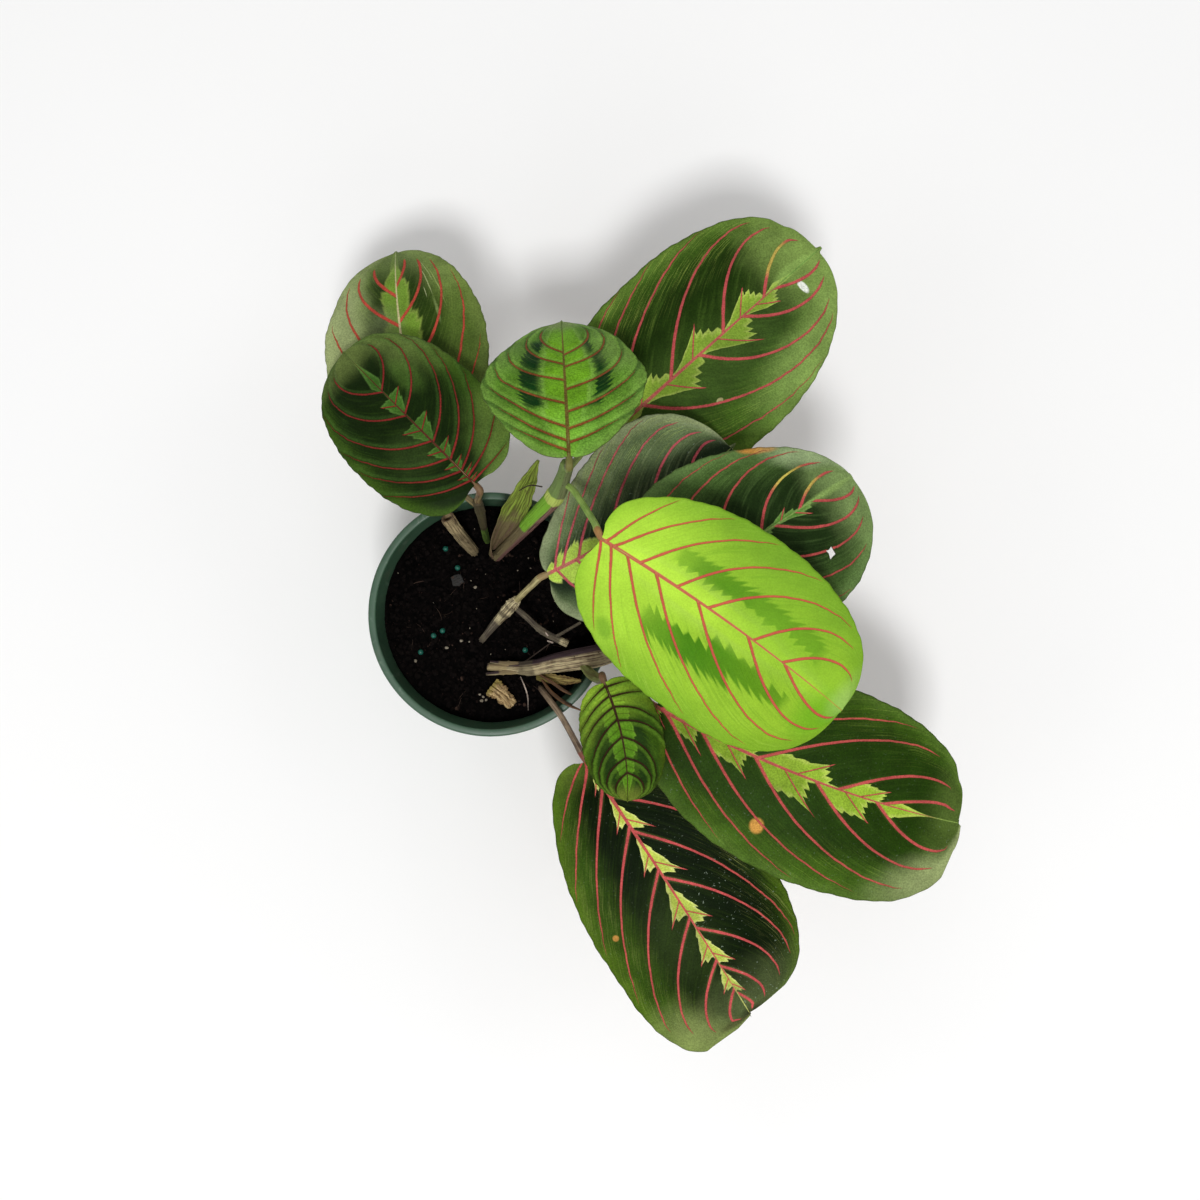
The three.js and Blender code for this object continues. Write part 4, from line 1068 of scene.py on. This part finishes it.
LOOKS = {
    "leaf_back_left_lower": dict(slot="leaf_green", tones=((40, 60, 14), (88, 112, 42), (110, 130, 62),
        (112, 146, 50), (138, 162, 70), (188, 72, 58), (176, 70, 56), (196, 186, 138), (170, 178, 128)),
        light_reach=(0.22, 0.27), blotch=WIDE_BLOTCH, light_rows=(0.7, 0.9), light_soft=0.03, twig=0,
        vein_tip=14, vein_width=0.75, dark_from=(0.1, 0.1), dark_until=(0.42, 0.56), streaks=0.6,
        rim_share=0.25, seed=1, marks=[((0.97, 0), 0.16, 0.9, 0.6, 0.6, (122, 142, 78)),
        ((0.5, 0.85), 0.4, 0.4, 0.6, 0.85, (162, 174, 120)),
        ((0.85, -0.7), 0.25, 0.3, 0.7, 0.6, (126, 146, 80)),
        ((0.3, -0.8), 0.2, 0.3, 0.6, 0.5, (64, 82, 36)),
        ((0.62, -0.42), 0.03, 0.006, 0.4, 0.7, (196, 204, 150)),
        ((0.7, -0.5), 0.1, 0.008, 0.4, 0.6, (190, 200, 140)),
        ((0.66, -0.62), 0.12, 0.006, 0.4, 0.6, (170, 186, 110)),
        ((0.52, -0.5), 0.06, 0.02, 0.5, 0.4, (160, 180, 110)),
        ((0.75, -0.58), 0.07, 0.007, 0.4, 0.5, (190, 200, 140)),
        ((0.5, 0.2), 0.1, 0.2, 0.6, 0.5, (112, 124, 84))],
        stalk=((132, 118, 78), (84, 74, 44), (120, 60, 44)), damage=dict(end=0.98)),
    "leaf_back_left": dict(slot="leaf_dark", tones=((20, 36, 8), (46, 70, 18), (56, 82, 22), (60, 98, 34),
        (80, 118, 50), (130, 42, 38), (112, 44, 34), (84, 44, 32), (74, 100, 50)), light_reach=(0.18, 0.19),
        blotch=EARLY_BLOTCH, twig_at=0.4, light_soft=0.015, dark_until=(0.82, 0.7), crease=0.25, glint=0.2,
        vein_width=0.44, vein_stop=0.6, halo=0, midrib_width=0.5, midrib_pale=(0.8, 0.95), streaks=0.4,
        seed=2, marks=[((0.96, 0.1), 0.13, 1, 0.6, 0.7, (112, 130, 66)),
        ((0.8, -0.8), 0.22, 0.4, 0.6, 0.6, (112, 134, 66)),
        ((0.6, -0.4), 0.1, 0.16, 0.5, 0.35, (90, 124, 50)),
        ((0.1, -0.85), 0.16, 0.4, 0.6, 0.7, (106, 134, 60)),
        ((0.3, 0.3), 0.1, 0.3, 0.6, 0.3, (66, 88, 40))],
        stalk=((142, 124, 84), (88, 68, 48), (112, 84, 58)), damage=dict(swell=0.05, end=0.975)),
    "leaf_back_centre": dict(slot="leaf_green", tones=((14, 52, 16), (88, 132, 38), (108, 146, 60),
        (106, 158, 34), (136, 182, 74), (132, 72, 38), (134, 78, 46), (104, 88, 40), (96, 124, 50)),
        dark_from=(0.33, 0.36), dark_until=(0.54, 0.48), dark_soft=0.05, dark_jag=0.05, dark_teeth=0.08,
        dark_shift=0.12, dark_rows=(0.24, 0.28, 0.7, 0.76), light_reach=(0.3, 0.3), light_soft=0.1,
        light_rows=(0.85, 1.1), vein_width=0.55, vein_stop=3, crease=0.45, glint=0.35, twig=0, halo=0,
        streaks=0.8, seed=3, velvet=1.3, marks=[((0.97, 0), 0.12, 0.9, 0.5, 0.75, (132, 148, 92)),
        ((0.1, -0.2), 0.14, 0.6, 0.6, 0.5, (124, 180, 66)),
        ((0.62, -0.7), 0.14, 0.25, 0.6, 0.5, (132, 164, 84)),
        ((0.62, 0.75), 0.12, 0.2, 0.6, 0.3, (120, 154, 76))],
        stalk=((128, 140, 78), (88, 102, 50), (110, 104, 50)), damage=dict(swell=0.055)),
    "leaf_back_right": dict(slot="leaf_dark", tones=((28, 48, 8), (62, 92, 26), (88, 118, 44),
        (142, 174, 56), (178, 198, 92), (186, 78, 80), (174, 80, 74), (176, 92, 82), (112, 150, 72)),
        light_reach=(0.25, 0.26), blotch=OAK_BLOTCH, twig_at=0.41, light_rows=(0.6, 0.88),
        dark_until=(0.76, 0.5), dark_soft=0.5, midrib_pale=(0.66, 0.8), streaks=0.6, vein_width=0.7,
        vein_stop=0.5, seed=4, old_veins=((0.82, 0.3), 0.08, 0.2, 0.4, 0.8),
        # The pale marks at the tip and along the right margin of this leaf are painted highlight.
        marks=[((0.98, -0.1), 0.21, 1.2, 0.6, 0.8, (138, 166, 84)),
        ((0.7, -0.82), 0.25, 0.3, 0.6, 0.7, (136, 164, 86)),
        ((0.6, -0.3), 0.25, 0.3, 0.8, 0.2, (88, 116, 56)),
        ((0.84, 0.04), 0.09, 0.07, 0.4, 0.6, (140, 172, 88)),
        ((0.82, -0.27), 0.013, 0.11, 0.2, 0.95, (232, 236, 226)),
        ((0.337, -0.465), 0.012, 0.025, 0.2, 0.9, (170, 162, 116)),
        ((0.3, -0.1), 0.3, 0.3, 0.8, 0.4, (76, 104, 42))],
        stalk=((134, 150, 80), (98, 110, 58), (150, 74, 60)),
        damage=dict(left=[(0.93, 0.1, 0.02)], end=0.985)),
    # The grey of this leaf's tones is partly its own colour and partly a painted satin sheen.
    "leaf_centre_low": dict(slot="leaf_grey", tones=((32, 46, 28), (92, 110, 72), (132, 144, 106),
        (176, 208, 82), (196, 216, 110), (190, 84, 94), (182, 88, 92), (188, 104, 96), (120, 140, 80)),
        light_reach=(0.36, 0.42), blotch=WIDE_BLOTCH, light_rows=(0.18, 0.36), dark_until=(0.4, 0.6),
        twig=0, light_soft=0.03, dark_soft=0.5, streaks=0.7, mottle=0.3, vein_width=0.6, vein_stop=1,
        halo=0, flecks=(0.5, 0.2), seed=5, stalk=((186, 176, 124), (120, 108, 72), (150, 126, 84))),
    "leaf_right_back": dict(slot="leaf_dark", tones=((28, 46, 16), (66, 92, 42), (94, 122, 66),
        (84, 128, 50), (112, 148, 74), (188, 80, 78), (176, 80, 72), (132, 156, 84), (140, 166, 96)),
        light_reach=(0.11, 0.1), blotch=((0, 0.15), (0.3, 0.3), (0.5, 1), (0.56, 0.4), (0.75, 0.5),
        (0.82, 0.2), (1, 0.15)), light_rows=(0.7, 0.95), dark_until=(0.62, 0.66), dark_soft=0.5,
        streaks=0.7, midrib_width=0.5, vein_stop=1, seed=6, old_veins=((0.72, 0.4), 0.09, 0.22, 0.4, 0.95),
        marks=[((0.96, 0), 0.17, 1.2, 0.6, 0.8, (138, 164, 98)),
        ((0.665, 0.98), 0.07, 0.07, 0.3, 0.9, (200, 140, 64)),
        ((0.82, 0.85), 0.12, 0.25, 0.6, 0.6, (166, 184, 138)),
        ((0.84, 0), 0.12, 0.06, 0.5, 0.6, (146, 176, 96))],
        stalk=((128, 146, 76), (92, 104, 54), (130, 66, 50)),
        damage=dict(holes=[(0.68, -0.57, 0.022, 0.05)], end=0.967)),
    "leaf_top": dict(slot="leaf_bright", tones=((64, 124, 14), (152, 196, 52), (120, 166, 40),
        (180, 224, 66), (176, 214, 82), (194, 80, 70), (190, 92, 66), (192, 106, 80), (170, 140, 60)),
        rim=(96, 130, 40), dark_from=(0.28, 0.3), dark_until=(0.42, 0.46), dark_soft=0.06, dark_jag=0.05,
        dark_teeth=0.09, dark_shift=0.14, dark_rows=(0.22, 0.26, 0.77, 0.82), mottle=0.6,
        mottle_in_dark=0.1, light_reach=(0.16, 0.16), light_soft=0.12, light_rows=(0.5, 1.3),
        margin_band=14, vein_width=0.56, vein_stop=1.2, vein_tip=5, twig=0, velvet=0.35, midrib_width=0.75,
        streaks=0.7, roughness=0.45, rim_share=0.3, seed=7,
        marks=[((0.02, 0), 0.26, 1, 0.7, 0.6, (188, 234, 72)),
        ((0.85, -0.3), 0.3, 1.2, 0.9, 0.35, (128, 166, 34)),
        ((0.93, -0.3), 0.08, 0.4, 0.6, 0.7, (100, 164, 26)),
        ((0.6, 0.6), 0.3, 0.45, 0.9, 0.5, (112, 160, 38)),
        ((0.72, 0.1), 0.2, 0.3, 0.8, 0.35, (132, 184, 46)),
        ((0.5, 0.95), 0.3, 0.3, 0.8, 0.45, (112, 156, 44)),
        ((0.17, -0.82), 0.03, 0.08, 0.5, 0.6, (104, 154, 38)),
        ((0.97, 0.3), 0.05, 0.6, 0.6, 0.5, (158, 190, 110))],
        stalk=((160, 190, 96), (122, 158, 66), (152, 84, 56)), damage=dict(end=0.967)),
    "leaf_small": dict(slot="leaf_green", tones=((26, 48, 10), (50, 78, 14), (64, 86, 16), (88, 136, 26),
        (108, 152, 44), (48, 28, 16), (54, 34, 18), (58, 38, 24), (60, 70, 28)), rim=(50, 54, 24),
        dark_from=(0.32, 0.34), dark_until=(0.56, 0.62), dark_soft=0.2, dark_jag=0.1, dark_teeth=0.08,
        dark_shift=0.12, dark_rows=(0.25, 0.4, 0.84, 0.95), light_reach=(0.32, 0.34),
        light_rows=(0.45, 1.1), light_soft=0.02, blotch=((0, 0.75), (0.1, 0.9), (0.3, 1), (0.5, 0.95),
        (0.7, 1), (0.8, 0.8), (0.9, 0.85), (1, 0.7)), margin_band=4, vein_width=0.42, vein_stop=0.4,
        vein_tip=3, twig=0.35, halo=0, crease=0.5, glint=0.35, midrib_width=0.6, midrib_pale=(0.85, 1),
        streaks=0.4, seed=8, marks=[((0.97, 0), 0.12, 0.9, 0.6, 0.6, (128, 140, 54)),
        ((0.2, -0.9), 0.25, 0.4, 0.6, 0.7, (124, 148, 46)),
        ((0.02, 0), 0.24, 0.9, 0.7, 0.85, (140, 178, 50)),
        ((0.45, -0.5), 0.15, 0.2, 0.6, 0.5, (46, 68, 14)), ((0.6, 0), 0.3, 0.4, 0.8, 0.3, (60, 92, 24))],
        stalk=((134, 146, 84), (92, 88, 46), (100, 64, 44)), damage=dict(swell=0.075, end=0.98)),
    "leaf_front": dict(slot="leaf_dark", tones=((8, 22, 1), (48, 74, 12), (74, 102, 22), (184, 200, 84),
        (212, 220, 126), (196, 82, 82), (186, 82, 76), (190, 84, 80), (176, 180, 100)),
        light_reach=(0.22, 0.19), blotch=ARROW_BLOTCH, twig_at=0.65, light_rows=(0.6, 1.2),
        dark_until=(0.86, 0.58), dark_soft=0.4, mottle=0.08, vein_stop=1.4, vein_tip=9,
        midrib_pale=(0.8, 0.9), flecks=(0.8, 0.15), seed=9,
        marks=[((0.97, 0.2), 0.13, 1, 0.7, 0.6, (96, 110, 66)),
        ((0.505, -0.765), 0.009, 0.03, 0.3, 0.9, (190, 136, 66)),
        ((0.93, -0.8), 0.13, 0.35, 0.7, 0.7, (136, 150, 86)),
        ((0.62, -0.2), 0.16, 0.3, 0.8, 0.35, (62, 82, 34)),
        ((0.02, -0.6), 0.05, 0.5, 0.6, 0.6, (96, 116, 42)),
        ((0.98, 0.3), 0.03, 0.6, 0.5, 0.8, (36, 34, 22)),
        ((0.97, -0.5), 0.03, 0.2, 0.5, 0.6, (60, 56, 30))],
        stalk=((150, 130, 106), (78, 62, 50), (120, 60, 46)), damage=dict(left=[(0.975, 0.55, 0.035)],
        right=[(0.965, 0.35, 0.02)], end=0.972, shrink=1.05)),
    "leaf_right_front": dict(slot="leaf_dark", tones=((32, 56, 6), (60, 90, 20), (76, 104, 36),
        (146, 180, 52), (180, 202, 88), (188, 80, 78), (178, 82, 72), (182, 88, 80), (130, 156, 74)),
        light_reach=(0.24, 0.27), blotch=HOLLY_BLOTCH, twig_at=0.48, light_rows=(0.6, 0.9),
        dark_until=(0.8, 0.66), margin_band=7, vein_width=0.66, vein_stop=2.4, midrib_pale=(0.8, 0.92),
        flecks=(0.15, 0.25), mottle=0.12, seed=10, marks=[((0.98, 0), 0.1, 1.1, 0.6, 0.5, (104, 126, 58)),
        ((0.93, -0.85), 0.14, 0.3, 0.7, 0.8, (152, 164, 110)),
        ((0.1, -0.6), 0.12, 0.4, 0.7, 0.5, (36, 54, 18)), ((0.3, -0.3), 0.25, 0.3, 0.8, 0.3, (56, 84, 30)),
        ((0.4, -0.62), 0.02, 0.075, 0.25, 0.95, (206, 150, 72))],
        stalk=((130, 146, 78), (94, 106, 54), (140, 66, 54)), damage=dict(right=[(0.955, 0.25, 0.02)],
        left=[(0.93, 0.08, 0.02)], end=0.967)),
}

# %% Build the leaves
PETIOLE, PULVINUS, KEEL_TIP, KEEL_REACH = 1.35, 1.6, 0.5, 0.84
KEEL_POINTS, STALK_SIDES, STALK_STEPS = 13, 14, 6


def stalk(leaf):
    """The stalk and the rib under the blade, as one bar from near the tip down to the foot."""
    t = KEEL_REACH * (1 - np.arange(KEEL_POINTS) / (KEEL_POINTS - 1)) + 0.012
    radii = PETIOLE + (KEEL_TIP - PETIOLE) * t
    place, _, _, up = midrib(leaf, t)
    path = (place - up * (0.15 + 0.8 * radii)[:, None]).tolist() + leaf["petiole"]
    below = [PETIOLE] * len(leaf["petiole"])
    if "sheath" in leaf:
        below[-3:-1] = [leaf["sheath"]] * 2
    below[0] = PULVINUS
    return bar(path, radii.tolist() + below, STALK_SIDES, STALK_STEPS)


edge_brown = plain_rim("leaf_edge", (96, 74, 52))
wine = leaf_underside("leaf_underside", (150, 158, 118), (146, 98, 92))
for node, leaf in LEAVES.items():
    look = SimpleNamespace(**{**PLAIN_LOOK, **LOOKS[node]})
    points, faces, kinds, maps = blade_mesh(leaf, VEINS[node], look.damage)
    stalk_points, stalk_faces, stalk_corners = stalk(leaf)
    faces += [[len(points) + v for v in face] for face in stalk_faces]
    kinds += [STALK] * len(stalk_faces)
    blank = [(0.0, 0.0)] * len(stalk_corners)
    pale, deep, cushion = look.stalk
    under_base = KEEL_REACH * leaf["length"]
    stalk_skin = ribbed(node + "_stalk", pale, deep, [(under_base - 1, under_base + 5, cushion, 0.8)])
    piece = make_piece(
        node.replace("leaf_", "maranta_"), np.vstack([points, stalk_points]), faces,
        [leaf_skin(node, look), wine, edge_brown, stalk_skin], look.slot, kinds, np.array(kinds) == WALLS,
        {"blade": maps[0] + stalk_corners, "vein": maps[1] + blank, "reach": maps[2] + blank})
    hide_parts(node)
    print(node, len(faces), "faces")

# %% [markdown]
# The stems are the old, woody part of the plant. Each is a bar through the CAD's points, with ribs pressed
# into it, a swollen ring at each node and its own bands of colour: tan and grey where it is dry, purple
# brown under an old sheath, green where it is young. A cut stub is hollow, so a second bar bores it.

# %% Stems
STEMS = {
    "stem_back": dict(bars=[dict(path=[(-2.2, 31.6, 69), (-2.2, 32.4, 81), (-2.6, 38, 97),
        (-3.3, 44.4, 107.5), (-3.6, 47, 115)], radii=[1.4, 1.5, 1.5, 2.2, 1.9],
        rings=[(0.72, 0.12), (0.98, 0.08)], ribs=7, depth=0.04)], pale=(96, 126, 44), deep=(46, 66, 22),
        slot="stem_green", bands=[(28, 60, (74, 62, 44), 0.9), (27, 29, (56, 42, 30), 0.8)]),
    "stem_centre": dict(bars=[dict(path=[(2.2, 25.4, 69), (2.2, 25.4, 81), (9, 31.2, 91), (19, 40, 107.5),
        (29.2, 49.4, 124), (32.4, 55.4, 134), (34.2, 59.6, 144)], radii=[2.2, 2.3, 2.5, 3.3, 3.9, 2.8, 2.8],
        rings=[(0.655, 0.1), (0.7, 0.05)], ribs=8, depth=0.03)], pale=(150, 112, 100), deep=(76, 50, 46),
        slot="stem_green", second=((122, 176, 48), 3.4), bands=[(0, 40, (112, 80, 74), 0.85),
        (64.5, 70, (186, 204, 100), 0.95), (70, 95, (112, 128, 78), 0.85)]),
    "stem_left": dict(bars=[dict(path=[(-6, -13, 69), (-4.4, -11.3, 81), (1, -5, 88.5), (9.6, 4.1, 97),
        (11.8, 6.2, 99.2)], radii=[1.2, 1.3, 1.6, 2.7, 1.7],
        rings=[(0.66, 0.2), (0.71, 0.1), (0.77, 0.22), (0.97, 0.1)], ribs=6, depth=0.09),
        dict(path=[(9.6, 4.1, 97), (15, -0.5, 94), (22.5, -7.2, 91), (33.2, -12.8, 90)],
        radii=[1.1, 1.2, 1.4, 1.5], rings=[(0.6, 0.16), (0.66, 0.2)], ribs=7, depth=0.08),
        dict(path=[(27.5, -9.8, 90.6), (33, -6.8, 94), (38.7, -3.4, 98)], radii=[0.7, 0.65, 0.6], rings=[],
        ribs=5, depth=0.03)], pale=(226, 212, 166), deep=(92, 78, 58), slot="stem_woody",
        bands=[(0, 27, (60, 52, 50), 0.8), (32, 34, (62, 52, 40), 0.7), (37, 38.2, (62, 52, 40), 0.6)]),
    "stem_right": dict(bars=[dict(path=[(-1.8, -22.8, 83.6), (6, -23.2, 84), (16.9, -23.2, 85.6),
        (30, -20.5, 90), (42, -18.3, 95.2), (50, -16.6, 98), (60, -13.2, 104), (68.4, -10.2, 112.5)],
        radii=[1.5, 1.7, 2.7, 4.4, 4.7, 4.3, 3.7, 4.3], rings=[(0.2, 0.12), (0.235, 0.2), (0.27, 0.26),
        (0.3, 0.14), (0.97, 0.05)], ribs=13, depth=0.07),
        dict(path=[(16.9, -23.2, 85.6), (17.6, -24.5, 78), (17.2, -25.2, 69)], radii=[2.3, 2, 1.4],
        rings=[], ribs=6, depth=0.05), dict(path=[(12, -24.3, 85), (5, -25.2, 84.6), (-2.4, -26, 84)],
        radii=[1.5, 1, 0.5], rings=[(0.5, 0.2)], ribs=5, depth=0.1),
        dict(path=[(12, -21.8, 85), (6, -21.3, 85), (-0.6, -20.6, 84.4)], radii=[1.4, 0.9, 0.4],
        rings=[(0.4, 0.2)], ribs=5, depth=0.1)], pale=(200, 184, 142), deep=(84, 66, 50), slot="stem_woody",
        second=((66, 50, 54), 1.2), bands=[(0, 9, (188, 166, 116), 0.5), (14, 21, (96, 88, 66), 0.6)]),
}
STEM_SIDES, STEM_STEPS = 40, 14


def knotty(rings, ribs, depth):
    """A thickening with lengthwise ribs, and with rings given as (share of the length, how much)."""
    def swell(u, turn):
        ribbing = depth * np.sin(ribs * turn + 2.0 * np.sin(9 * u))
        ribbing += 0.5 * depth * np.sin((ribs * 2 + 1) * turn + 5 * u)
        return 1 + ribbing + sum(rise * np.exp(-(((u - where) / 0.018) ** 2)) for where, rise in rings)
    return swell


for node, stem in STEMS.items():
    points, faces, corners = joined(
        bar(b["path"], b["radii"], STEM_SIDES, STEM_STEPS, knotty(b["rings"], b["ribs"], b["depth"]))
        for b in stem["bars"])
    bark = ribbed(
        node + "_bark", stem["pale"], stem["deep"], stem["bands"], 17.0, 0.7, stem.get("second"), 0.0014)
    piece = make_piece(
        node.replace("stem_", "living_stem_"), points, faces, [bark], stem["slot"], maps={"blade": corners})
    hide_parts(node)
    print(node, len(faces), "faces")

STUB_PATH = [(-7.4, 26.8, 69), (-8.3, 28, 81), (-13.4, 34.6, 89.4), (-17.9, 41.4, 97)]
STUB_BORE = [(-12.4, 33.2, 87.4), (-15.4, 37.6, 93), (-19, 43.2, 99)]
straw = ribbed("cut_stub_straw", (204, 184, 138), (88, 70, 48), [(10, 27, (84, 74, 54), 0.45)], 26.0, 0.75,
               relief=0.0018)
points, faces, corners = bar(STUB_PATH, [2.2, 2.3, 2.7, 2.9], 44, 16, knotty([(0.94, 0.05)], 11, 0.07))
stub = make_piece("cut_stub_hollow", points, faces, [straw], "dry_leaf", maps={"blade": corners})
cut(stub, *bar(STUB_BORE, [1.2, 1.9, 2.0], 28, 8)[:2])
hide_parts("cut_stub")
print("stub faces:", len(stub.data.polygons))

# %% [markdown]
# Old sheaths and scraps of leaf are thin curled sheets. Each follows a path, bends round an axis beside it
# and gets narrower where it ends. The CAD's sheets are smooth; here their margins are ragged, they are
# creased lengthwise, and they are as thin as dry leaf.

# %% Dry sheets
CHANNELS = {
    "bract_centre": dict(path=[(0.4, 28.2, 83.6), (4.6, 34.6, 93.5), (11, 44, 104.5), (17, 54.5, 114),
        (21.8, 63.5, 120)], hollow=[(0.62, -0.72, 0.3), (0.4, -0.5, 0.75), (0.2, -0.3, 0.93),
        (0.2, -0.3, 0.93), (0.2, -0.3, 0.93)], radius=[3.3, 5.6, 7.2, 7.4, 7],
        reach=[2.1, 1.35, 0.92, 0.55, 0.06], colours=((134, 156, 58), (84, 88, 34), (98, 72, 64)),
        foot=(30, 20), slot="sheath", name="old_sheath_centre", ragged=0.16, crease=0.2),
    "bract_right": dict(path=[(19.5, -27.3, 84.6), (26, -28.2, 87), (33, -28.6, 89.2), (39, -28.4, 91)],
        hollow=(0, 0.5, -0.86), radius=[4, 4, 4, 4], reach=[0.5, 0.75, 0.6, 0.08],
        colours=((158, 142, 82), (88, 66, 38), (92, 84, 36)), foot=(9, 2), slot="dry_leaf",
        name="old_sheath_right", ragged=0.22, crease=0.25),
    "dry_scrap": dict(path=[(-0.2, -31.2, 83.4), (3.4, -34, 84.2), (6.6, -37, 84.6), (9.4, -39.6, 84.2)],
        hollow=(0.1, -0.1, -1), radius=[7, 4.5, 2.6, 1.9], reach=[0.75, 0.95, 1.5, 2.5],
        colours=((198, 172, 124), (124, 98, 64), (130, 116, 54)), foot=(4, 0), slot="dry_leaf",
        name="curled_scrap", ragged=0.3, crease=0.4),
    "bark_chip": dict(path=[(-17.4, 14.2, 82.4), (-15.2, 14.8, 82.5), (-12.9, 15.8, 82.5)],
        hollow=(0, 0, -1), radius=[9, 9, 9], reach=[0.22, 0.3, 0.2],
        colours=((62, 62, 62), (40, 40, 40), (50, 48, 46)), foot=(9, 2), slot="grit", name="grey_chip",
        ragged=0.1, crease=0.1),
}
SHEET = 0.4


def curled_sheet(channel, rows=90, columns=36):
    u, s = np.meshgrid(np.linspace(0, 1, rows + 1), np.linspace(-1, 1, columns + 1), indexing="ij")
    line = smooth_curve(channel["path"], 24)
    share = np.linspace(0, 1, len(line))
    forward = along(u, share, unit(np.gradient(line, axis=0)))
    spots = np.linspace(0, 1, len(channel["radius"]))
    hollow = along(u, spots, np.broadcast_to(np.array(channel["hollow"], float), (len(spots), 3)))
    inward = unit(hollow - forward * (forward * hollow).sum(-1)[..., None])
    radius = np.interp(u, spots, channel["radius"])
    fray = 0.5 + 0.5 * np.sin(47 * u + 2 * np.sign(s)) * np.sin(19 * u + np.sign(s))
    angle = s * (1 - channel["ragged"] * fray) * np.interp(u, spots, channel["reach"])
    reach = radius + channel["crease"] * (
        np.sin(13 * s + 2 * u) + 0.7 * np.sin(5 * s - 17 * u) + 0.6 * np.sin(27 * s + 9 * u))
    points = along(u, share, line) + inward * (radius - reach * np.cos(angle))[..., None]
    points += np.cross(inward, forward) * (reach * np.sin(angle))[..., None]
    normal = unit(np.cross(np.gradient(points, axis=0), np.gradient(points, axis=1)))
    both = np.vstack([(points + sign * normal * SHEET / 2).reshape(-1, 3) for sign in (1, -1)])
    stride, other = columns + 1, u.size
    faces = []
    for i in range(rows):
        for j in range(columns):
            a, b = i * stride + j, (i + 1) * stride + j
            faces += [(a, b, b + 1, a + 1), (other + a, other + a + 1, other + b + 1, other + b)]
    border = [(i * stride, (i + 1) * stride) for i in range(rows)]
    border += [(rows * stride + j, rows * stride + j + 1) for j in range(columns)]
    border += [((i + 1) * stride + columns, i * stride + columns) for i in range(rows)]
    border += [(j + 1, j) for j in range(columns)]
    faces += [(b, a, other + a, other + b) for a, b in border]
    length = np.linalg.norm(np.diff(line, axis=0), axis=1).sum()
    corners = [v % other for face in faces for v in face]
    return both, faces, [(u.flat[v] * length, s.flat[v] * 0.5 + 0.5) for v in corners]


def papery(name, pale, deep, base, foot):
    """Dry leaf: stripes along it, a foot of another colour, brown specks and a papery grain."""
    dry = Finish(name, Roughness=0.75, Specular_IOR_Level=0.25)
    length, across = dry.map("blade")
    stripes = dry.noise(1.0, 3.0, (across * 22.0, length * 0.09, 0.0), 0.6)
    spot = dry.place()
    cloud = dry.noise(210.0, 4.0, spot)
    tint = dry.blend(dry.fade(stripes, 0.38, 0.62), deep, pale)
    tint = dry.blend(dry.fade(length + (cloud - 0.5) * 12.0, *foot, 0.0, 0.8), tint, base)
    brown = dry.fade(dry.noise(420.0, 3.0, spot), 0.6, 0.68, 0.0, 0.5)
    dry.set("Base Color", dry.blend(brown, tint, (74, 50, 34)))
    dry.bump(stripes + cloud, 0.0006, 0.8)
    return dry.material


for node, channel in CHANNELS.items():
    points, faces, corners = curled_sheet(channel)
    dry_leaf = papery(node, *channel["colours"], channel["foot"])
    sheet = make_piece(channel["name"], points, faces, [dry_leaf], channel["slot"], maps={"blade": corners})
    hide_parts(node)
print("dry sheets:", len(CHANNELS))

# %% [markdown]
# Thin roots and fibres are what is left of old leaves and what the plant sends out from its nodes. Each is
# a very thin bar that starts at a stem or in the mix. The loose ones are scattered over the mix and follow
# its height.

# %% Fibres and rootlets
FIBRES = {
    "pale_rootlet": dict(tint=(216, 196, 180), bars=[([(12.4, -27.2, 81.6), (14.2, -31.2, 82.4),
        (15.5, -35.5, 82.2), (15.8, -42, 81)], 0.32),
        ([(24.2, -8.4, 90.6), (23.4, -7.3, 91.6), (24.8, -9.2, 92.2)], 0.4),
        ([(25.6, -11.6, 90.4), (24.6, -11.4, 91.4), (27, -12.2, 91.6)], 0.35)]),
    "brown_fibre": dict(tint=(112, 80, 52), bars=[([(20.2, -25.6, 86), (27, -29.6, 90), (32, -33, 90.4),
        (37.5, -35.6, 89.4)], 0.8), ([(21.2, -27.4, 84), (26, -33.4, 89), (32.5, -38.2, 92.4),
        (38.8, -41, 93.2)], 0.9), ([(22, -29, 84), (28.5, -36, 90), (33, -38.6, 93.4)], 0.45)]),
    "dark_fibre": dict(tint=(70, 54, 42), bars=[([(14.8, -20.4, 86), (19.4, -17, 88.4), (25.4, -12.6, 90)],
        0.28), ([(13.6, 51.6, 113), (18.4, 53.4, 118), (23.4, 52.6, 121)], 0.3)]),
}
LOOSE_FIBRES = 30

for name, fibre in FIBRES.items():
    thread = ribbed(name + "_skin", fibre["tint"], [0.55 * c for c in fibre["tint"]], (), 3.0, 0.7)
    points, faces, corners = joined(
        bar(path, [0.6 * radius, radius, radius, 0.35 * radius][:max(len(path), 3)], 8, 8)
        for path, radius in fibre["bars"])
    make_piece(name, points, faces, [thread], "stem_woody", maps={"blade": corners})

loose = []
for x, y in spots_in_pot(LOOSE_FIBRES, 8.0):
    heading, bend = random.uniform(0, 2 * np.pi), random.uniform(-0.2, 0.2)
    length, radius = random.uniform(2.0, 8.0), random.uniform(0.07, 0.16)
    path = []
    for step in range(5):
        path.append((x, y, soil_height(x, y) - 0.3 + random.uniform(0.0, 0.7)))
        x, y = x + np.cos(heading) * length / 4, y + np.sin(heading) * length / 4
        heading += bend
    loose.append(bar(path, [0.5 * radius, radius, radius, radius, 0.4 * radius], 5, 3))
points, faces, corners = joined(loose)
hair = ribbed("loose_fibre_skin", (82, 62, 50), (40, 28, 24), (), 3.0, 0.8)
make_piece("loose_fibres", points, faces, [hair], "potting_mix", maps={"blade": corners})
print("fibres:", LOOSE_FIBRES + sum(len(f["bars"]) for f in FIBRES.values()))
